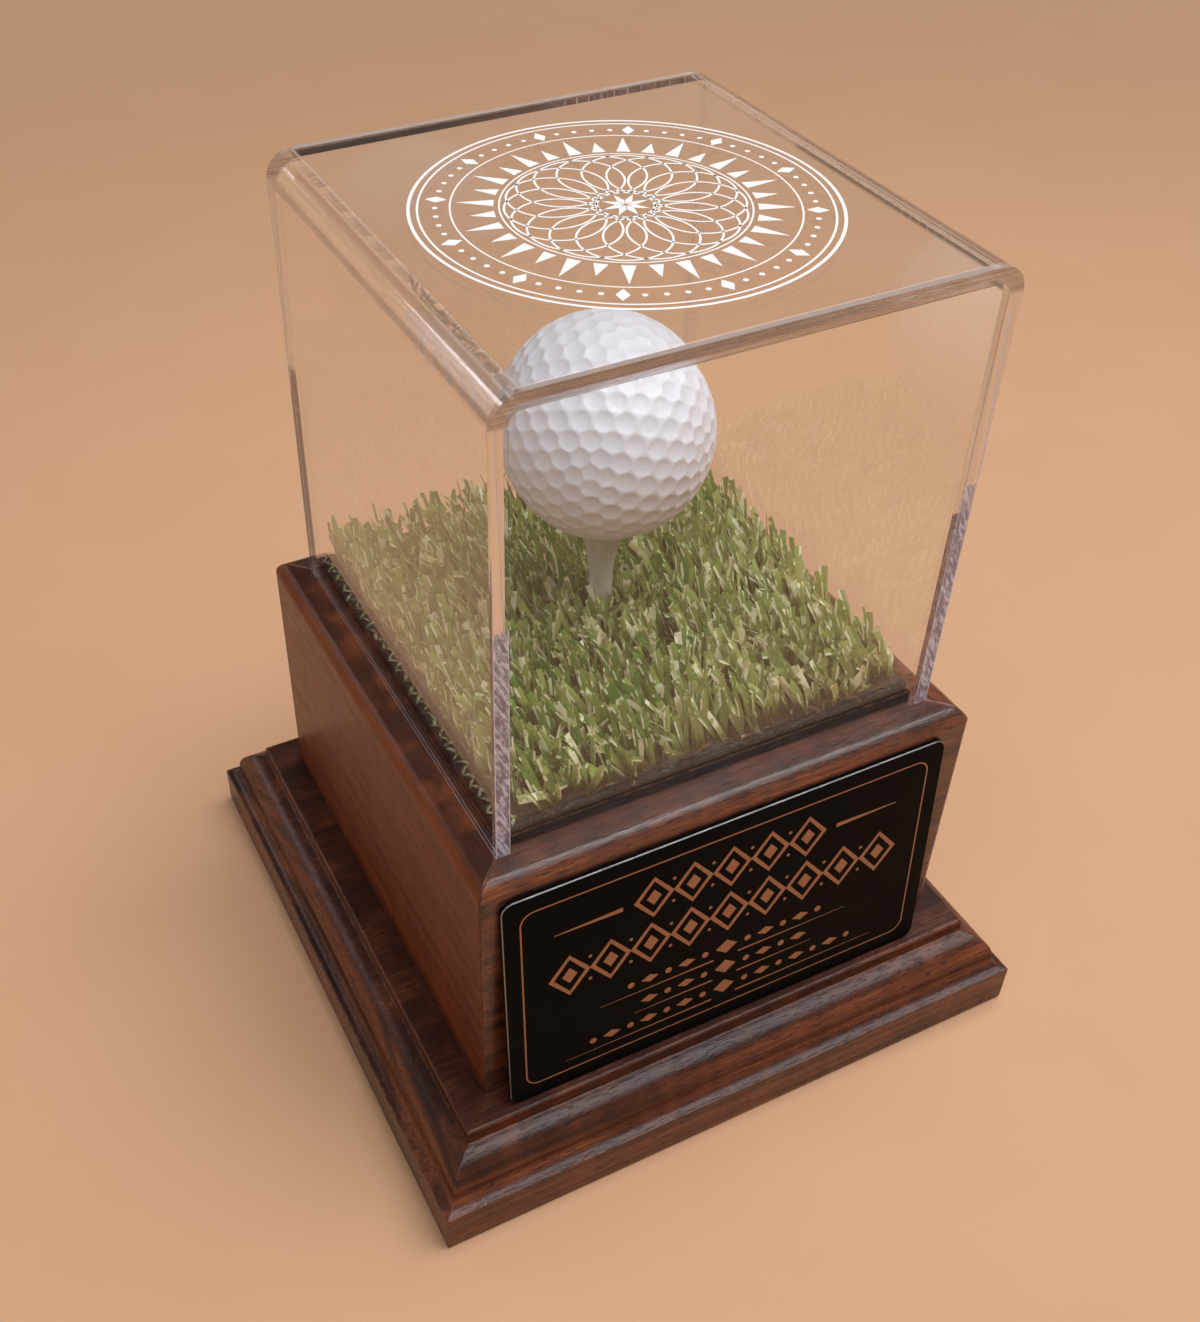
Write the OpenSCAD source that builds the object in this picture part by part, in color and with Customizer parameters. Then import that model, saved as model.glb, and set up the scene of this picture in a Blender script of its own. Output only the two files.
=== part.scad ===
// Golf ball display case: a clear lift-off cover over a ball on a tee in a square of turf,
// on a mitred walnut box with a moulded walnut plinth. Millimetres, +Z up, front towards -Y.
// The origin is at the middle of the footprint, on the surface that the case stands on.

/* [Cover] */
// Outside width and depth of the clear cover
cover_w = 98.4; // [92:0.2:115]
// Outside height of the clear cover
cover_h = 97.9; // [94:0.1:125]
// Thickness of the acrylic sheet
sheet_t = 3; // [2:0.1:4]
// Inside radius of the two heat bends
bend_r = 2.5; // [2:0.1:8]
// Solvent joint between the panels and the bent sheet
weld_gap = 0.05; // [0.02:0.01:0.1]
// Play between the cover and the deck that locates it
cover_play = 0.3; // [0.2:0.05:0.8]

/* [Walnut box] */
// Wooden rim left outside the cover, on each side
rim_w = 6.6; // [5:0.1:12]
// Height of the box walls above the plinth
box_h = 63.2; // [61:0.1:80]
// Thickness of the four mitred walls
wall_t = 12.7; // [10:0.1:14]
// Radius of the rounded upper edge
edge_r = 4.2; // [2:0.1:6]
// Width of the rounding seen from above, up to its crisp arris
edge_set = 2.4; // [1:0.1:3]
// Radius of the upright outer corners
corner_r = 0.8; // [0.3:0.1:2]
// Glue line between wooden pieces
glue_gap = 0.05; // [0.02:0.01:0.1]
// Width of the square glue blocks in the corners
block_w = 17; // [13:0.5:20]

/* [Plinth] */
// Flat ledge of the plinth in front of the box, on each side
ledge_w = 7; // [5.5:0.05:12]
// Height of the plinth's upright lower band
band_h = 10.05; // [6:0.05:16]
// Radius of the hollow above the band
cove_r = 3.1; // [1.5:0.05:5]
// Radius of the round above the hollow
round_r = 6.1; // [3:0.05:9]
// Height of the upright step below the ledge
step_h = 3.5; // [1.5:0.05:6]
// Radius of the fine rounding of the upper arris
arris_r = 0.5; // [0.2:0.1:1]

/* [Deck] */
// Height of the deck above the rim, which locates the cover
deck_lip = 2.65; // [1.5:0.05:5]
// Depth of the plug that drops into the box
plug_t = 8; // [5:0.5:12]
// Play of the plug in the box
plug_play = 0.1; // [0.05:0.05:0.3]

/* [Turf] */
// Thickness of the woven backing
backing_t = 2.1; // [1:0.1:3]
// Backing kept back from the deck's edge
backing_set = 0.4; // [0.2:0.1:1]
// Height of the pile above the backing
pile_h = 8.4; // [5:0.1:12]
// Pile kept back from the backing's edge
pile_set = 0.7; // [0.3:0.1:2]
// Distance between the tufts that the pile is drawn as
tuft_pitch = 12; // [8:0.5:20]
// Depth of the dips between the tufts
tuft_dip = 2.9; // [1:0.1:4]
// Width of a dip at the top
dip_w = 5; // [2:0.5:8]
// Bare strip of stitching along the left edge
bare_strip = 2.8; // [0:0.1:5]

/* [Ball and tee] */
// Ball diameter
ball_d = 42.67; // [42.67:0.01:43.5]
// Space left between the ball and the tee's rim
ball_gap = 0.1; // [0.05:0.05:0.3]
// Height of the tee's rim above the deck
tee_stand = 27.7; // [22:0.1:30]
// Tee set to the right of the deck's middle, negative to the left
tee_x = -1; // [-4:0.1:4]
// Tee set behind the deck's middle, negative in front of it
tee_y = 1.5; // [-4:0.1:4]
// Whole length of the tee
tee_len = 70; // [54:1:76]
// Diameter of the tee's shank
shank_d = 5; // [4:0.1:6]
// Diameter of the tee's rim
tee_rim_d = 11.4; // [9:0.1:13]
// Thickness of the rim's edge
tee_rim_t = 1.2; // [0.8:0.1:2]
// Height of the flare below the rim
flare_h = 15.4; // [8:0.1:17]
// Length of the pointed tip
tip_len = 12; // [6:1:16]
// Play between the shank and the drilled deck
shank_play = 0.05; // [0.02:0.01:0.1]
// Room around the shank in the backing and the pile
turf_play = 0.8; // [0.5:0.1:2]

/* [Plaque] */
// Width of the plaque
plaque_w = 101.6; // [70:0.1:104]
// Height of the plaque
plaque_h = 58.8; // [40:0.1:59]
// Plaque set to the right of the box's middle, negative to the left
plaque_x = -1.2; // [-3:0.1:3]
// Thickness of the plaque
plaque_t = 1; // [0.8:0.1:2]
// Radius of the plaque's corners
plaque_r = 2.6; // [1:0.1:5]
// Lean of the plaque against the box, in degrees
plaque_lean = 4; // [1:0.25:4.5]
// Bevel of the plaque's front edge
plaque_bevel = 0.3; // [0.1:0.05:0.5]
// Gap left where the plaque touches the wood
plaque_gap = 0.05; // [0.02:0.01:0.1]
// Length of the two foam strips behind the plaque
tape_len = 84; // [30:1:92]
// Height of each foam strip
tape_h = 11.5; // [6:0.5:14]
// Foam strips kept in from the plaque's top and bottom
tape_set = 4; // [2:0.5:6]

/* [Screws] */
// Diameter of the screws' shanks
screw_d = 3.5; // [3:0.1:4.5]
// Diameter of the countersunk heads
head_d = 7; // [6:0.1:8.5]
// Height of the countersunk heads
head_h = 2.2; // [1.8:0.1:3]
// Length of the screws that hold the plinth
base_screw_len = 32; // [26:1:40]
// Length of the screws that hold the deck
deck_screw_len = 25; // [18:1:28]
// Depth of the wells under the plinth
well_depth = 3; // [2:0.5:5]
// Room between each screw and its hole
screw_play = 0.05; // [0.02:0.01:0.1]
// Width of the cross slots
cross_w = 1; // [0.6:0.1:1.2]
// Depth of the cross slots
cross_depth = 1.2; // [0.8:0.1:1.5]

/* [Felt pads] */
// Diameter of the pads under the plinth
pad_d = 14; // [8:0.5:20]
// Thickness of the pads
pad_t = 1; // [0.8:0.1:2]
// How far the pads stand below the plinth
pad_proud = 0.5; // [0.3:0.1:1]
// Middle of each pad, in from the plinth's sides
pad_inset = 14; // [11:0.5:18]

/* [Hidden] */

// Facets of round shapes: any value above 12 is a true circle
$fn = 64;
// Overlap that lets a cut run clean past a face
over = 1;

// Widths, each grown from the cover outwards
box_w = cover_w + 2 * rim_w;
ledge_top_w = box_w + 2 * ledge_w;
plinth_w = ledge_top_w + 2 * (cove_r + round_r);
box_in_w = box_w - 2 * wall_t;
cover_in_w = cover_w - 2 * sheet_t;
deck_w = cover_in_w - 2 * cover_play;
plug_w = box_in_w - 2 * plug_play;
backing_w = deck_w - 2 * backing_set;

// Heights, from the surface upwards
cove_z = pad_proud + band_h;
round_z = cove_z + cove_r;
step_z = round_z + round_r;
ledge_z = step_z + step_h;
rim_z = ledge_z + box_h;
edge_rise = sqrt(edge_r * edge_r - pow(edge_r - edge_set, 2));
edge_z = rim_z - edge_rise;
deck_z = rim_z + deck_lip;
backing_z = deck_z + backing_t;
pile_z = backing_z + pile_h;
tee_z = deck_z + tee_stand;

// The ball sits in the tee's dish, which has the ball's own radius
dish_r = ball_d / 2 + ball_gap;
dish_rim_r = tee_rim_d / 2 - tee_rim_t / 2;
ball_z = tee_z + sqrt(dish_r * dish_r - dish_rim_r * dish_rim_r);
shank_r = shank_d / 2;
flare_r = (pow(flare_h, 2) + pow(tee_rim_d / 2 - shank_r, 2)) / (2 * (tee_rim_d / 2 - shank_r));

// The plaque's rear top edge touches the box and its rear bottom edge stands on the ledge
plaque_rise = plaque_h * cos(plaque_lean);
plaque_run = plaque_h * sin(plaque_lean);
plaque_back_y = -box_w / 2 - plaque_gap;
plaque_foot_z = ledge_z + plaque_gap;

block_mid = box_in_w / 2 - glue_gap - block_w / 2;
block_top = rim_z - plug_t - glue_gap;
pad_mid = plinth_w / 2 - pad_inset;

walnut = [0.33, 0.16, 0.10];
walnut_dark = [0.12, 0.07, 0.05];
acrylic = [0.85, 0.90, 0.92, 0.3];

// ---- Shared shapes ----

// A rectangle about the origin with true round corners
module round_rect(w, h, r) {
    square([w - 2 * r, h], center = true);
    square([w, h - 2 * r], center = true);
    for (x = [-1, 1], y = [-1, 1])
        translate([x * (w / 2 - r), y * (h / 2 - r)]) circle(r);
}

// An outline in X and Z run round all four sides of a square of width w, with mitred corners
module mitred_moulding(w) {
    intersection() {
        rotate([90, 0, 0]) linear_extrude(w + 2 * over, center = true) children();
        rotate([90, 0, 90]) linear_extrude(w + 2 * over, center = true) children();
    }
}

// Moves its child to the tee's upright axis
module at_tee() {
    translate([tee_x, tee_y, 0]) children();
}

// One child at each of the four points (+-d, +-d)
module four_corners(d) {
    for (x = [-1, 1], y = [-1, 1])
        translate([x * d, y * d, 0]) children();
}

// A countersunk wood screw, head face up at the origin; grown by play to make its hole
module wood_screw(len, play = 0) {
    r = screw_d / 2 + play;
    point = screw_d;
    translate([0, 0, -head_h]) cylinder(h = head_h, r1 = r, r2 = head_d / 2 + play);
    translate([0, 0, point - len]) cylinder(h = len - point - head_h + over / 2, r = r);
    translate([0, 0, -len - play]) cylinder(h = point + play, r1 = 0.3 + play, r2 = r);
}

module cross_recess() {
    for (turn = [0, 90])
        rotate([0, 0, turn])
            translate([0, 0, -cross_depth / 2 + over / 2])
                cube([head_d * 0.55, cross_w, cross_depth + over], center = true);
}

module driven_screw(len) {
    difference() {
        wood_screw(len);
        cross_recess();
    }
}

// Screws that rise through the plinth, and screws that drop through the deck
module place_base_screws() {
    four_corners(block_mid) translate([0, 0, pad_proud + well_depth]) rotate([180, 0, 0]) children();
}

module place_deck_screws() {
    four_corners(block_mid) translate([0, 0, deck_z]) children();
}

// ---- Plinth and its pads ----

module plinth_outline() {
    difference() {
        translate([-plinth_w / 2, pad_proud]) square([plinth_w, round_z - pad_proud]);
        for (side = [-1, 1])
            translate([side * plinth_w / 2, round_z]) circle(cove_r);
    }
    intersection() {
        translate([-plinth_w / 2, round_z - over / 2]) square([plinth_w, round_r + over / 2]);
        for (side = [-1, 1])
            translate([side * ledge_top_w / 2, round_z]) circle(round_r);
    }
    translate([-ledge_top_w / 2, round_z - over / 2]) square([ledge_top_w, step_z - round_z + over]);
    translate([0, (step_z + ledge_z) / 2 - over / 2])
        round_rect(ledge_top_w, step_h + over, arris_r);
}

module plinth() {
    color(walnut) difference() {
        mitred_moulding(plinth_w) plinth_outline();
        place_base_screws() wood_screw(base_screw_len, screw_play);
        four_corners(block_mid) translate([0, 0, -over])
            cylinder(h = over + pad_proud + well_depth + screw_play, d = head_d + 1);
        four_corners(pad_mid) translate([0, 0, -over])
            cylinder(h = over + pad_t, d = pad_d + 2 * glue_gap);
    }
}

module felt_pad(x, y) {
    color("dimgray") translate([x * pad_mid, y * pad_mid, 0]) cylinder(h = pad_t - glue_gap, d = pad_d);
}

module pad_front_left() { felt_pad(-1, -1); }
module pad_front_right() { felt_pad(1, -1); }
module pad_rear_left() { felt_pad(-1, 1); }
module pad_rear_right() { felt_pad(1, 1); }

// ---- Mitred box ----

module box_outline() {
    intersection() {
        translate([-box_w / 2, ledge_z + glue_gap]) square([box_w, rim_z - ledge_z - glue_gap]);
        union() {
            translate([-box_w / 2, ledge_z]) square([box_w, edge_z - ledge_z]);
            translate([-box_w / 2 + edge_r, ledge_z]) square([box_w - 2 * edge_r, box_h + over]);
            for (side = [-1, 1])
                translate([side * (box_w / 2 - edge_r), edge_z]) circle(edge_r);
        }
    }
}

module box_walls() {
    difference() {
        intersection() {
            mitred_moulding(box_w) box_outline();
            linear_extrude(rim_z + over) round_rect(box_w, box_w, corner_r);
        }
        translate([0, 0, rim_z / 2]) cube([box_in_w, box_in_w, rim_z + 4 * over], center = true);
    }
}

// The quarter of the box that faces -Y before it is turned, cut on both mitres
module mitred_board(turn) {
    reach = box_w;
    color(walnut) intersection() {
        box_walls();
        rotate([0, 0, turn]) linear_extrude(rim_z + over)
            polygon([[0, -glue_gap], [reach, -reach - glue_gap], [-reach, -reach - glue_gap]]);
    }
}

module front_board() { mitred_board(0); }
module right_board() { mitred_board(90); }
module rear_board() { mitred_board(180); }
module left_board() { mitred_board(270); }

// A glue block in one inside corner, drilled for the screws from below and above
module corner_block(x, y) {
    color("burlywood") difference() {
        translate([x * block_mid - block_w / 2, y * block_mid - block_w / 2, ledge_z + glue_gap])
            cube([block_w, block_w, block_top - ledge_z - glue_gap]);
        place_base_screws() wood_screw(base_screw_len, screw_play);
        place_deck_screws() wood_screw(deck_screw_len, screw_play);
    }
}

module block_front_left() { corner_block(-1, -1); }
module block_front_right() { corner_block(1, -1); }
module block_rear_left() { corner_block(-1, 1); }
module block_rear_right() { corner_block(1, 1); }

module deck_panel() {
    color(walnut_dark) difference() {
        union() {
            translate([-deck_w / 2, -deck_w / 2, rim_z + glue_gap])
                cube([deck_w, deck_w, deck_lip - glue_gap]);
            translate([-plug_w / 2, -plug_w / 2, rim_z - plug_t])
                cube([plug_w, plug_w, plug_t + deck_lip / 2]);
        }
        at_tee() translate([0, 0, rim_z - plug_t - over])
            cylinder(h = plug_t + deck_lip + 2 * over, r = shank_r + shank_play);
        place_deck_screws() wood_screw(deck_screw_len, screw_play);
    }
}

module base_screws() {
    color("goldenrod") place_base_screws() driven_screw(base_screw_len);
}

module deck_screws() {
    color("goldenrod") place_deck_screws() driven_screw(deck_screw_len);
}

// ---- Turf ----

module shank_hole() {
    at_tee() translate([0, 0, rim_z]) cylinder(h = cover_h, r = shank_r + turf_play);
}

module turf_backing() {
    color([0.08, 0.08, 0.08]) difference() {
        translate([-backing_w / 2, -backing_w / 2, deck_z + glue_gap])
            cube([backing_w, backing_w, backing_t - glue_gap]);
        shank_hole();
    }
}

// One dip between two rows of tufts, along X from the origin
module dip(length) {
    rotate([90, 0, 90]) translate([0, 0, -over]) linear_extrude(length + 2 * over)
        polygon([[-dip_w / 2, 0], [0, -tuft_dip], [dip_w / 2, 0], [dip_w / 2, over], [-dip_w / 2, over]]);
}

// The pile as one soft block in tufts, kept back from the stitched strip on the left
module turf_pile() {
    pile_y = backing_w - 2 * pile_set;
    pile_x = pile_y - bare_strip;
    columns = round(pile_x / tuft_pitch);
    rows = round(pile_y / tuft_pitch);
    color("olivedrab") difference() {
        translate([backing_w / 2 - pile_set - pile_x, -pile_y / 2, backing_z]) difference() {
            cube([pile_x, pile_y, pile_h]);
            for (k = [1:rows - 1])
                translate([0, k * pile_y / rows, pile_h]) dip(pile_x);
            for (k = [1:columns - 1])
                translate([k * pile_x / columns, 0, pile_h]) rotate([0, 0, 90]) dip(pile_y);
        }
        shank_hole();
    }
}

// ---- Tee and ball ----

// Half outline of the tee, turned about Z
module tee_outline() {
    difference() {
        translate([0, tee_z - tee_len + tip_len]) square([tee_rim_d / 2, tee_len - tip_len]);
        translate([shank_r, rim_z - tee_len]) square([tee_rim_d, tee_len + tee_z - rim_z - flare_h]);
        translate([shank_r + flare_r, tee_z - flare_h]) circle(flare_r, $fn = 128);
        translate([0, ball_z]) circle(dish_r, $fn = 128);
    }
    polygon([[0, tee_z - tee_len], [shank_r, tee_z - tee_len + tip_len],
             [shank_r, tee_z - tee_len + tip_len + over], [0, tee_z - tee_len + tip_len + over]]);
}

module tee() {
    color("ivory") at_tee() rotate_extrude() tee_outline();
}

module golf_ball() {
    color("white") at_tee() translate([0, 0, ball_z]) sphere(d = ball_d);
}

// ---- Clear cover ----

// A flat-footed arch of width w and height h, with its two upper corners rounded
module arch(w, h, r) {
    translate([-w / 2, 0]) square([w, h - r]);
    translate([-w / 2 + r, 0]) square([w - 2 * r, h]);
    for (side = [-1, 1])
        translate([side * (w / 2 - r), h - r]) circle(r);
}

module cover_sheet() {
    color(acrylic) translate([0, 0, rim_z + glue_gap]) rotate([90, 0, 0])
        linear_extrude(cover_w, center = true) difference() {
            arch(cover_w, cover_h - glue_gap, bend_r + sheet_t);
            translate([0, -over]) arch(cover_in_w, cover_h - glue_gap - sheet_t + over, bend_r);
        }
}

module cover_panel(side) {
    color(acrylic) translate([0, side * (cover_w - sheet_t) / 2, rim_z + glue_gap]) rotate([90, 0, 0])
        linear_extrude(sheet_t, center = true)
            arch(cover_in_w - 2 * weld_gap, cover_h - glue_gap - sheet_t - weld_gap, bend_r - weld_gap);
}

module cover_front_panel() { cover_panel(-1); }
module cover_rear_panel() { cover_panel(1); }

// ---- Plaque ----

// Moves a plate that stands on the XZ plane, front towards -Y, to the plaque's leaning place
module plaque_place() {
    translate([plaque_x, plaque_back_y - plaque_run, plaque_foot_z])
        rotate([-plaque_lean, 0, 0]) children();
}

module plaque() {
    color([0.05, 0.05, 0.05]) plaque_place() translate([0, 0, plaque_h / 2]) rotate([90, 0, 0]) {
        linear_extrude(plaque_t - plaque_bevel) round_rect(plaque_w, plaque_h, plaque_r);
        translate([0, 0, plaque_t - 2 * plaque_bevel]) linear_extrude(2 * plaque_bevel)
            round_rect(plaque_w - 2 * plaque_bevel, plaque_h - 2 * plaque_bevel, plaque_r - plaque_bevel);
    }
}

// Depth of the wedge of air behind the plaque at height z
function wedge_depth(z) = (plaque_foot_z + plaque_rise - z) * tan(plaque_lean);

// Two foam strips, pressed into the wedge between the box and the plaque
module plaque_tape() {
    low = plaque_foot_z + tape_set;
    high = plaque_foot_z + plaque_rise - tape_set - tape_h;
    color("gray") for (z = [low, high])
        translate([plaque_x, 0, 0]) rotate([90, 0, 90]) linear_extrude(tape_len, center = true)
            polygon([[-box_w / 2 - plaque_gap / 2, z], [-box_w / 2 - plaque_gap / 2, z + tape_h],
                     [plaque_back_y - wedge_depth(z + tape_h), z + tape_h],
                     [plaque_back_y - wedge_depth(z), z]]);
}

plinth();
pad_front_left();
pad_front_right();
pad_rear_left();
pad_rear_right();
front_board();
rear_board();
left_board();
right_board();
block_front_left();
block_front_right();
block_rear_left();
block_rear_right();
deck_panel();
base_screws();
deck_screws();
turf_backing();
turf_pile();
tee();
golf_ball();
cover_sheet();
cover_front_panel();
cover_rear_panel();
plaque();
plaque_tape();
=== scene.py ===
# %% [markdown]
# # A golf ball display case
# The case is a clear lift-off cover over a ball on a tee. The tee stands in a square of artificial turf on a
# mitred walnut box, and the box stands on a moulded plinth. Hard pieces come ready made from the frame and
# get their finish here. The dimpled ball, the turf, the woven mat, the etched rosette and the plaque are
# modelled here, because their looks depend on fine relief that the plain solids leave out.

# %% Load the frame
import math
import random

import bmesh
import bpy
import numpy as np
from mathutils import Matrix, Vector


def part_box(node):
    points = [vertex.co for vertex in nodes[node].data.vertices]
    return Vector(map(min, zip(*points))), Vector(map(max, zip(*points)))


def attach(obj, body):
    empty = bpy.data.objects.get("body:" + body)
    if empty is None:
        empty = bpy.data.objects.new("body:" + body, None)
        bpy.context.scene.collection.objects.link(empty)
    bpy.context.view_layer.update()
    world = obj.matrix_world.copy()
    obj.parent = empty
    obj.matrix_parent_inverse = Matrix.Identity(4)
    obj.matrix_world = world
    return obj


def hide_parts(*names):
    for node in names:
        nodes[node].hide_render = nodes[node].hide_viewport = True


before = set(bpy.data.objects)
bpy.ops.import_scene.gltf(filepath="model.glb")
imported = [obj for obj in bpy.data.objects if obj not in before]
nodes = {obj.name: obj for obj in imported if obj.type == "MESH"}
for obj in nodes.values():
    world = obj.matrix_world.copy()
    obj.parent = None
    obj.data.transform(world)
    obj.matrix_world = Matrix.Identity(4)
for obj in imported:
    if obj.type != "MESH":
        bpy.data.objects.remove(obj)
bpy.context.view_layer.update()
MM = 0.001
scene = bpy.context.scene
scene.view_settings.view_transform = "Standard"

# %% [markdown]
# ## Camera
# A camera that looks down at a small case from close by shows strong converging verticals. It is described
# the way a photographer would: where it stands, which way it looks, how it is rolled and how long its lens
# is. The optical axis is left of the picture's middle, which is a lens shift.

# %% Place the camera
PICTURE_W, PICTURE_H = 1200, 1322     # pixels of the whole picture
FOCAL_PX = 1510.5                     # focal length in those pixels
AXIS_PX = 516.3                       # column where the optical axis meets the picture
CAMERA_PLACE = Vector((-127.84, -218.76, 297.49)) * MM
AZIMUTH, ELEVATION, ROLL = map(math.radians, (-26.058, 41.0, -0.122))

back = Vector((math.sin(AZIMUTH) * math.cos(ELEVATION), -math.cos(AZIMUTH) * math.cos(ELEVATION),
               math.sin(ELEVATION)))
right = (-back).cross(Vector((0, 0, 1))).normalized()
up = back.cross(right)
camera_right = right * math.cos(ROLL) + up * math.sin(ROLL)
camera_up = up * math.cos(ROLL) - right * math.sin(ROLL)

camera = bpy.data.objects.new("camera", bpy.data.cameras.new("camera"))
scene.collection.objects.link(camera)
camera.matrix_world = Matrix.Translation(CAMERA_PLACE) @ Matrix(
    (camera_right, camera_up, back)).transposed().to_4x4()
camera.data.lens = FOCAL_PX * camera.data.sensor_width / PICTURE_H
camera.data.shift_x = (PICTURE_W / 2 - AXIS_PX) / PICTURE_H
camera.data.clip_start = 0.01
scene.camera = camera
print("lens %.1f mm, shift %.3f" % (camera.data.lens, camera.data.shift_x))

# %% [markdown]
# ## Node helpers
# Materials are node trees. Adding nodes one by one takes many lines, so a few small helpers keep the trees
# short: one adds a node and fills or links its inputs, and the others wrap the nodes that are used most, so
# that a tree reads almost like a sum. Everything is measured in millimetres.

# %% Add, reckon and blend
def node(tree, kind, inputs=None, **settings):
    """A new node with its settings and inputs; an input may be a value or another node's output."""
    made = tree.nodes.new(kind)
    for name, value in settings.items():
        setattr(made, name, value)
    for name, value in (inputs or {}).items():
        socket = made.inputs[name]
        if isinstance(value, bpy.types.NodeSocket):
            tree.links.new(value, socket)
        else:
            socket.default_value = value
    return made


def math_node(tree, operation, first, second=0.0, third=0.0, clamp=False):
    """The result of one Math node."""
    return node(tree, "ShaderNodeMath", {0: first, 1: second, 2: third},
                operation=operation, use_clamp=clamp).outputs[0]


def times(tree, *factors):
    """The product of masks and numbers."""
    product = factors[0]
    for factor in factors[1:]:
        product = math_node(tree, "MULTIPLY", product, factor)
    return product


def most(tree, *masks):
    """The largest of some masks at each point."""
    largest = masks[0]
    for mask in masks[1:]:
        largest = math_node(tree, "MAXIMUM", largest, mask)
    return largest


def remap(tree, value, low, high, to_low=0.0, to_high=1.0):
    """A smooth step of value between low and high."""
    return node(tree, "ShaderNodeMapRange",
                {"Value": value, "From Min": low, "From Max": high, "To Min": to_low, "To Max": to_high},
                interpolation_type="SMOOTHSTEP").outputs["Result"]


def mix_colour(tree, share, first, second, blend="MIX"):
    """Two colours mixed by share."""
    made = node(tree, "ShaderNodeMix", data_type="RGBA", blend_type=blend)
    for name, value in ((0, share), (6, first), (7, second)):
        if isinstance(value, bpy.types.NodeSocket):
            tree.links.new(value, made.inputs[name])
        else:
            made.inputs[name].default_value = value
    return made.outputs[2]


print("blending helpers are ready")

# %% [markdown]
# Nothing on a real piece is perfectly even. Noise gives the unevenness, and it is sampled at places that were
# stretched first, so that the same noise makes fibres, threads or clouds.

# %% Noise and colours
def noise(tree, position, scale, detail=3.0, rough=0.5):
    """Noise between 0 and 1, scale in waves per millimetre."""
    return node(tree, "ShaderNodeTexNoise", {
        "Vector": position, "Scale": scale, "Detail": detail, "Roughness": rough}).outputs["Fac"]


def stretch(tree, position, x, y, z):
    """Position scaled along each axis."""
    return node(tree, "ShaderNodeVectorMath", {0: position, 1: (x, y, z)},
                operation="MULTIPLY").outputs[0]


def rgb(red, green, blue):
    """A colour with full alpha."""
    return (red, green, blue, 1.0)


print("noise helpers are ready")

# %% [markdown]
# An effect that several finishes share, such as wood grain or worn edges, is a node group: a small machine
# with named inputs and outputs that is built once and placed in each material with its own values.

# %% Groups
GROUP_TYPES = {"vector": "NodeSocketVector", "colour": "NodeSocketColor", "value": "NodeSocketFloat"}


def new_group(name, inputs, outputs):
    """An empty shader group; inputs maps each name to (kind, default), outputs maps each name to a kind."""
    tree = bpy.data.node_groups.new(name, "ShaderNodeTree")
    for label, (kind, default) in inputs.items():
        socket = tree.interface.new_socket(name=label, in_out="INPUT", socket_type=GROUP_TYPES[kind])
        socket.default_value = default
    for label, kind in outputs.items():
        tree.interface.new_socket(name=label, in_out="OUTPUT", socket_type=GROUP_TYPES[kind])
    entry = tree.nodes.new("NodeGroupInput")
    leave = tree.nodes.new("NodeGroupOutput")
    return tree, entry.outputs, leave.inputs


def use_group(tree, group, inputs):
    """The outputs of a group placed in tree."""
    made = node(tree, "ShaderNodeGroup", node_tree=group)
    for name, value in inputs.items():
        if isinstance(value, bpy.types.NodeSocket):
            tree.links.new(value, made.inputs[name])
        else:
            made.inputs[name].default_value = value
    return made.outputs


print("group sockets can be:", ", ".join(GROUP_TYPES))

# %% [markdown]
# A texture has to stay on its piece when the piece moves. Object coordinates do that: each piece of the frame
# has its origin at the middle of the footprint, so the coordinates are true places on the case at rest, and
# they travel with the piece. One pattern can then run on across neighbouring pieces.

# %% Start and finish a material
def new_material(name):
    """An empty material, its tree, and where each point is, in millimetres."""
    material = bpy.data.materials.new(name)
    material.use_nodes = True
    tree = material.node_tree
    tree.nodes.clear()
    place = node(tree, "ShaderNodeTexCoord").outputs["Object"]
    return material, tree, stretch(tree, place, 1 / MM, 1 / MM, 1 / MM)


def finish_material(tree, shader):
    """Sends a shader to the material's output."""
    tree.links.new(shader, node(tree, "ShaderNodeOutputMaterial").inputs["Surface"])


def bump(tree, height, distance, base=None):
    """A normal from a height between 0 and 1, distance in millimetres, on top of the base normal if given."""
    inputs = {"Height": height, "Distance": distance * MM}
    if base is not None:
        inputs["Normal"] = base
    return node(tree, "ShaderNodeBump", inputs).outputs["Normal"]


def dress(material, *names):
    """Gives a material to each named piece of the frame."""
    for name in names:
        slots = nodes[name].data.materials
        slots.clear()
        slots.append(material)
    print(material.name, "on", ", ".join(names))


print("pieces of the frame to dress:", len(nodes))

# %% [markdown]
# ## Walnut
# Walnut is a tree's growth rings cut through: bands of dark and light that run with the grain, fine fibre
# streaks, and open pores that show as short dark dashes. On end grain the same pores are dots and the rings
# are arcs. One solid texture in three dimensions gives all of these at once. Each point gets a ring radius,
# which is its distance from a pith line below the board, and all the noise is stretched along the grain and
# squeezed across the rings, so that it lies in layers as wood does.

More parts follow.
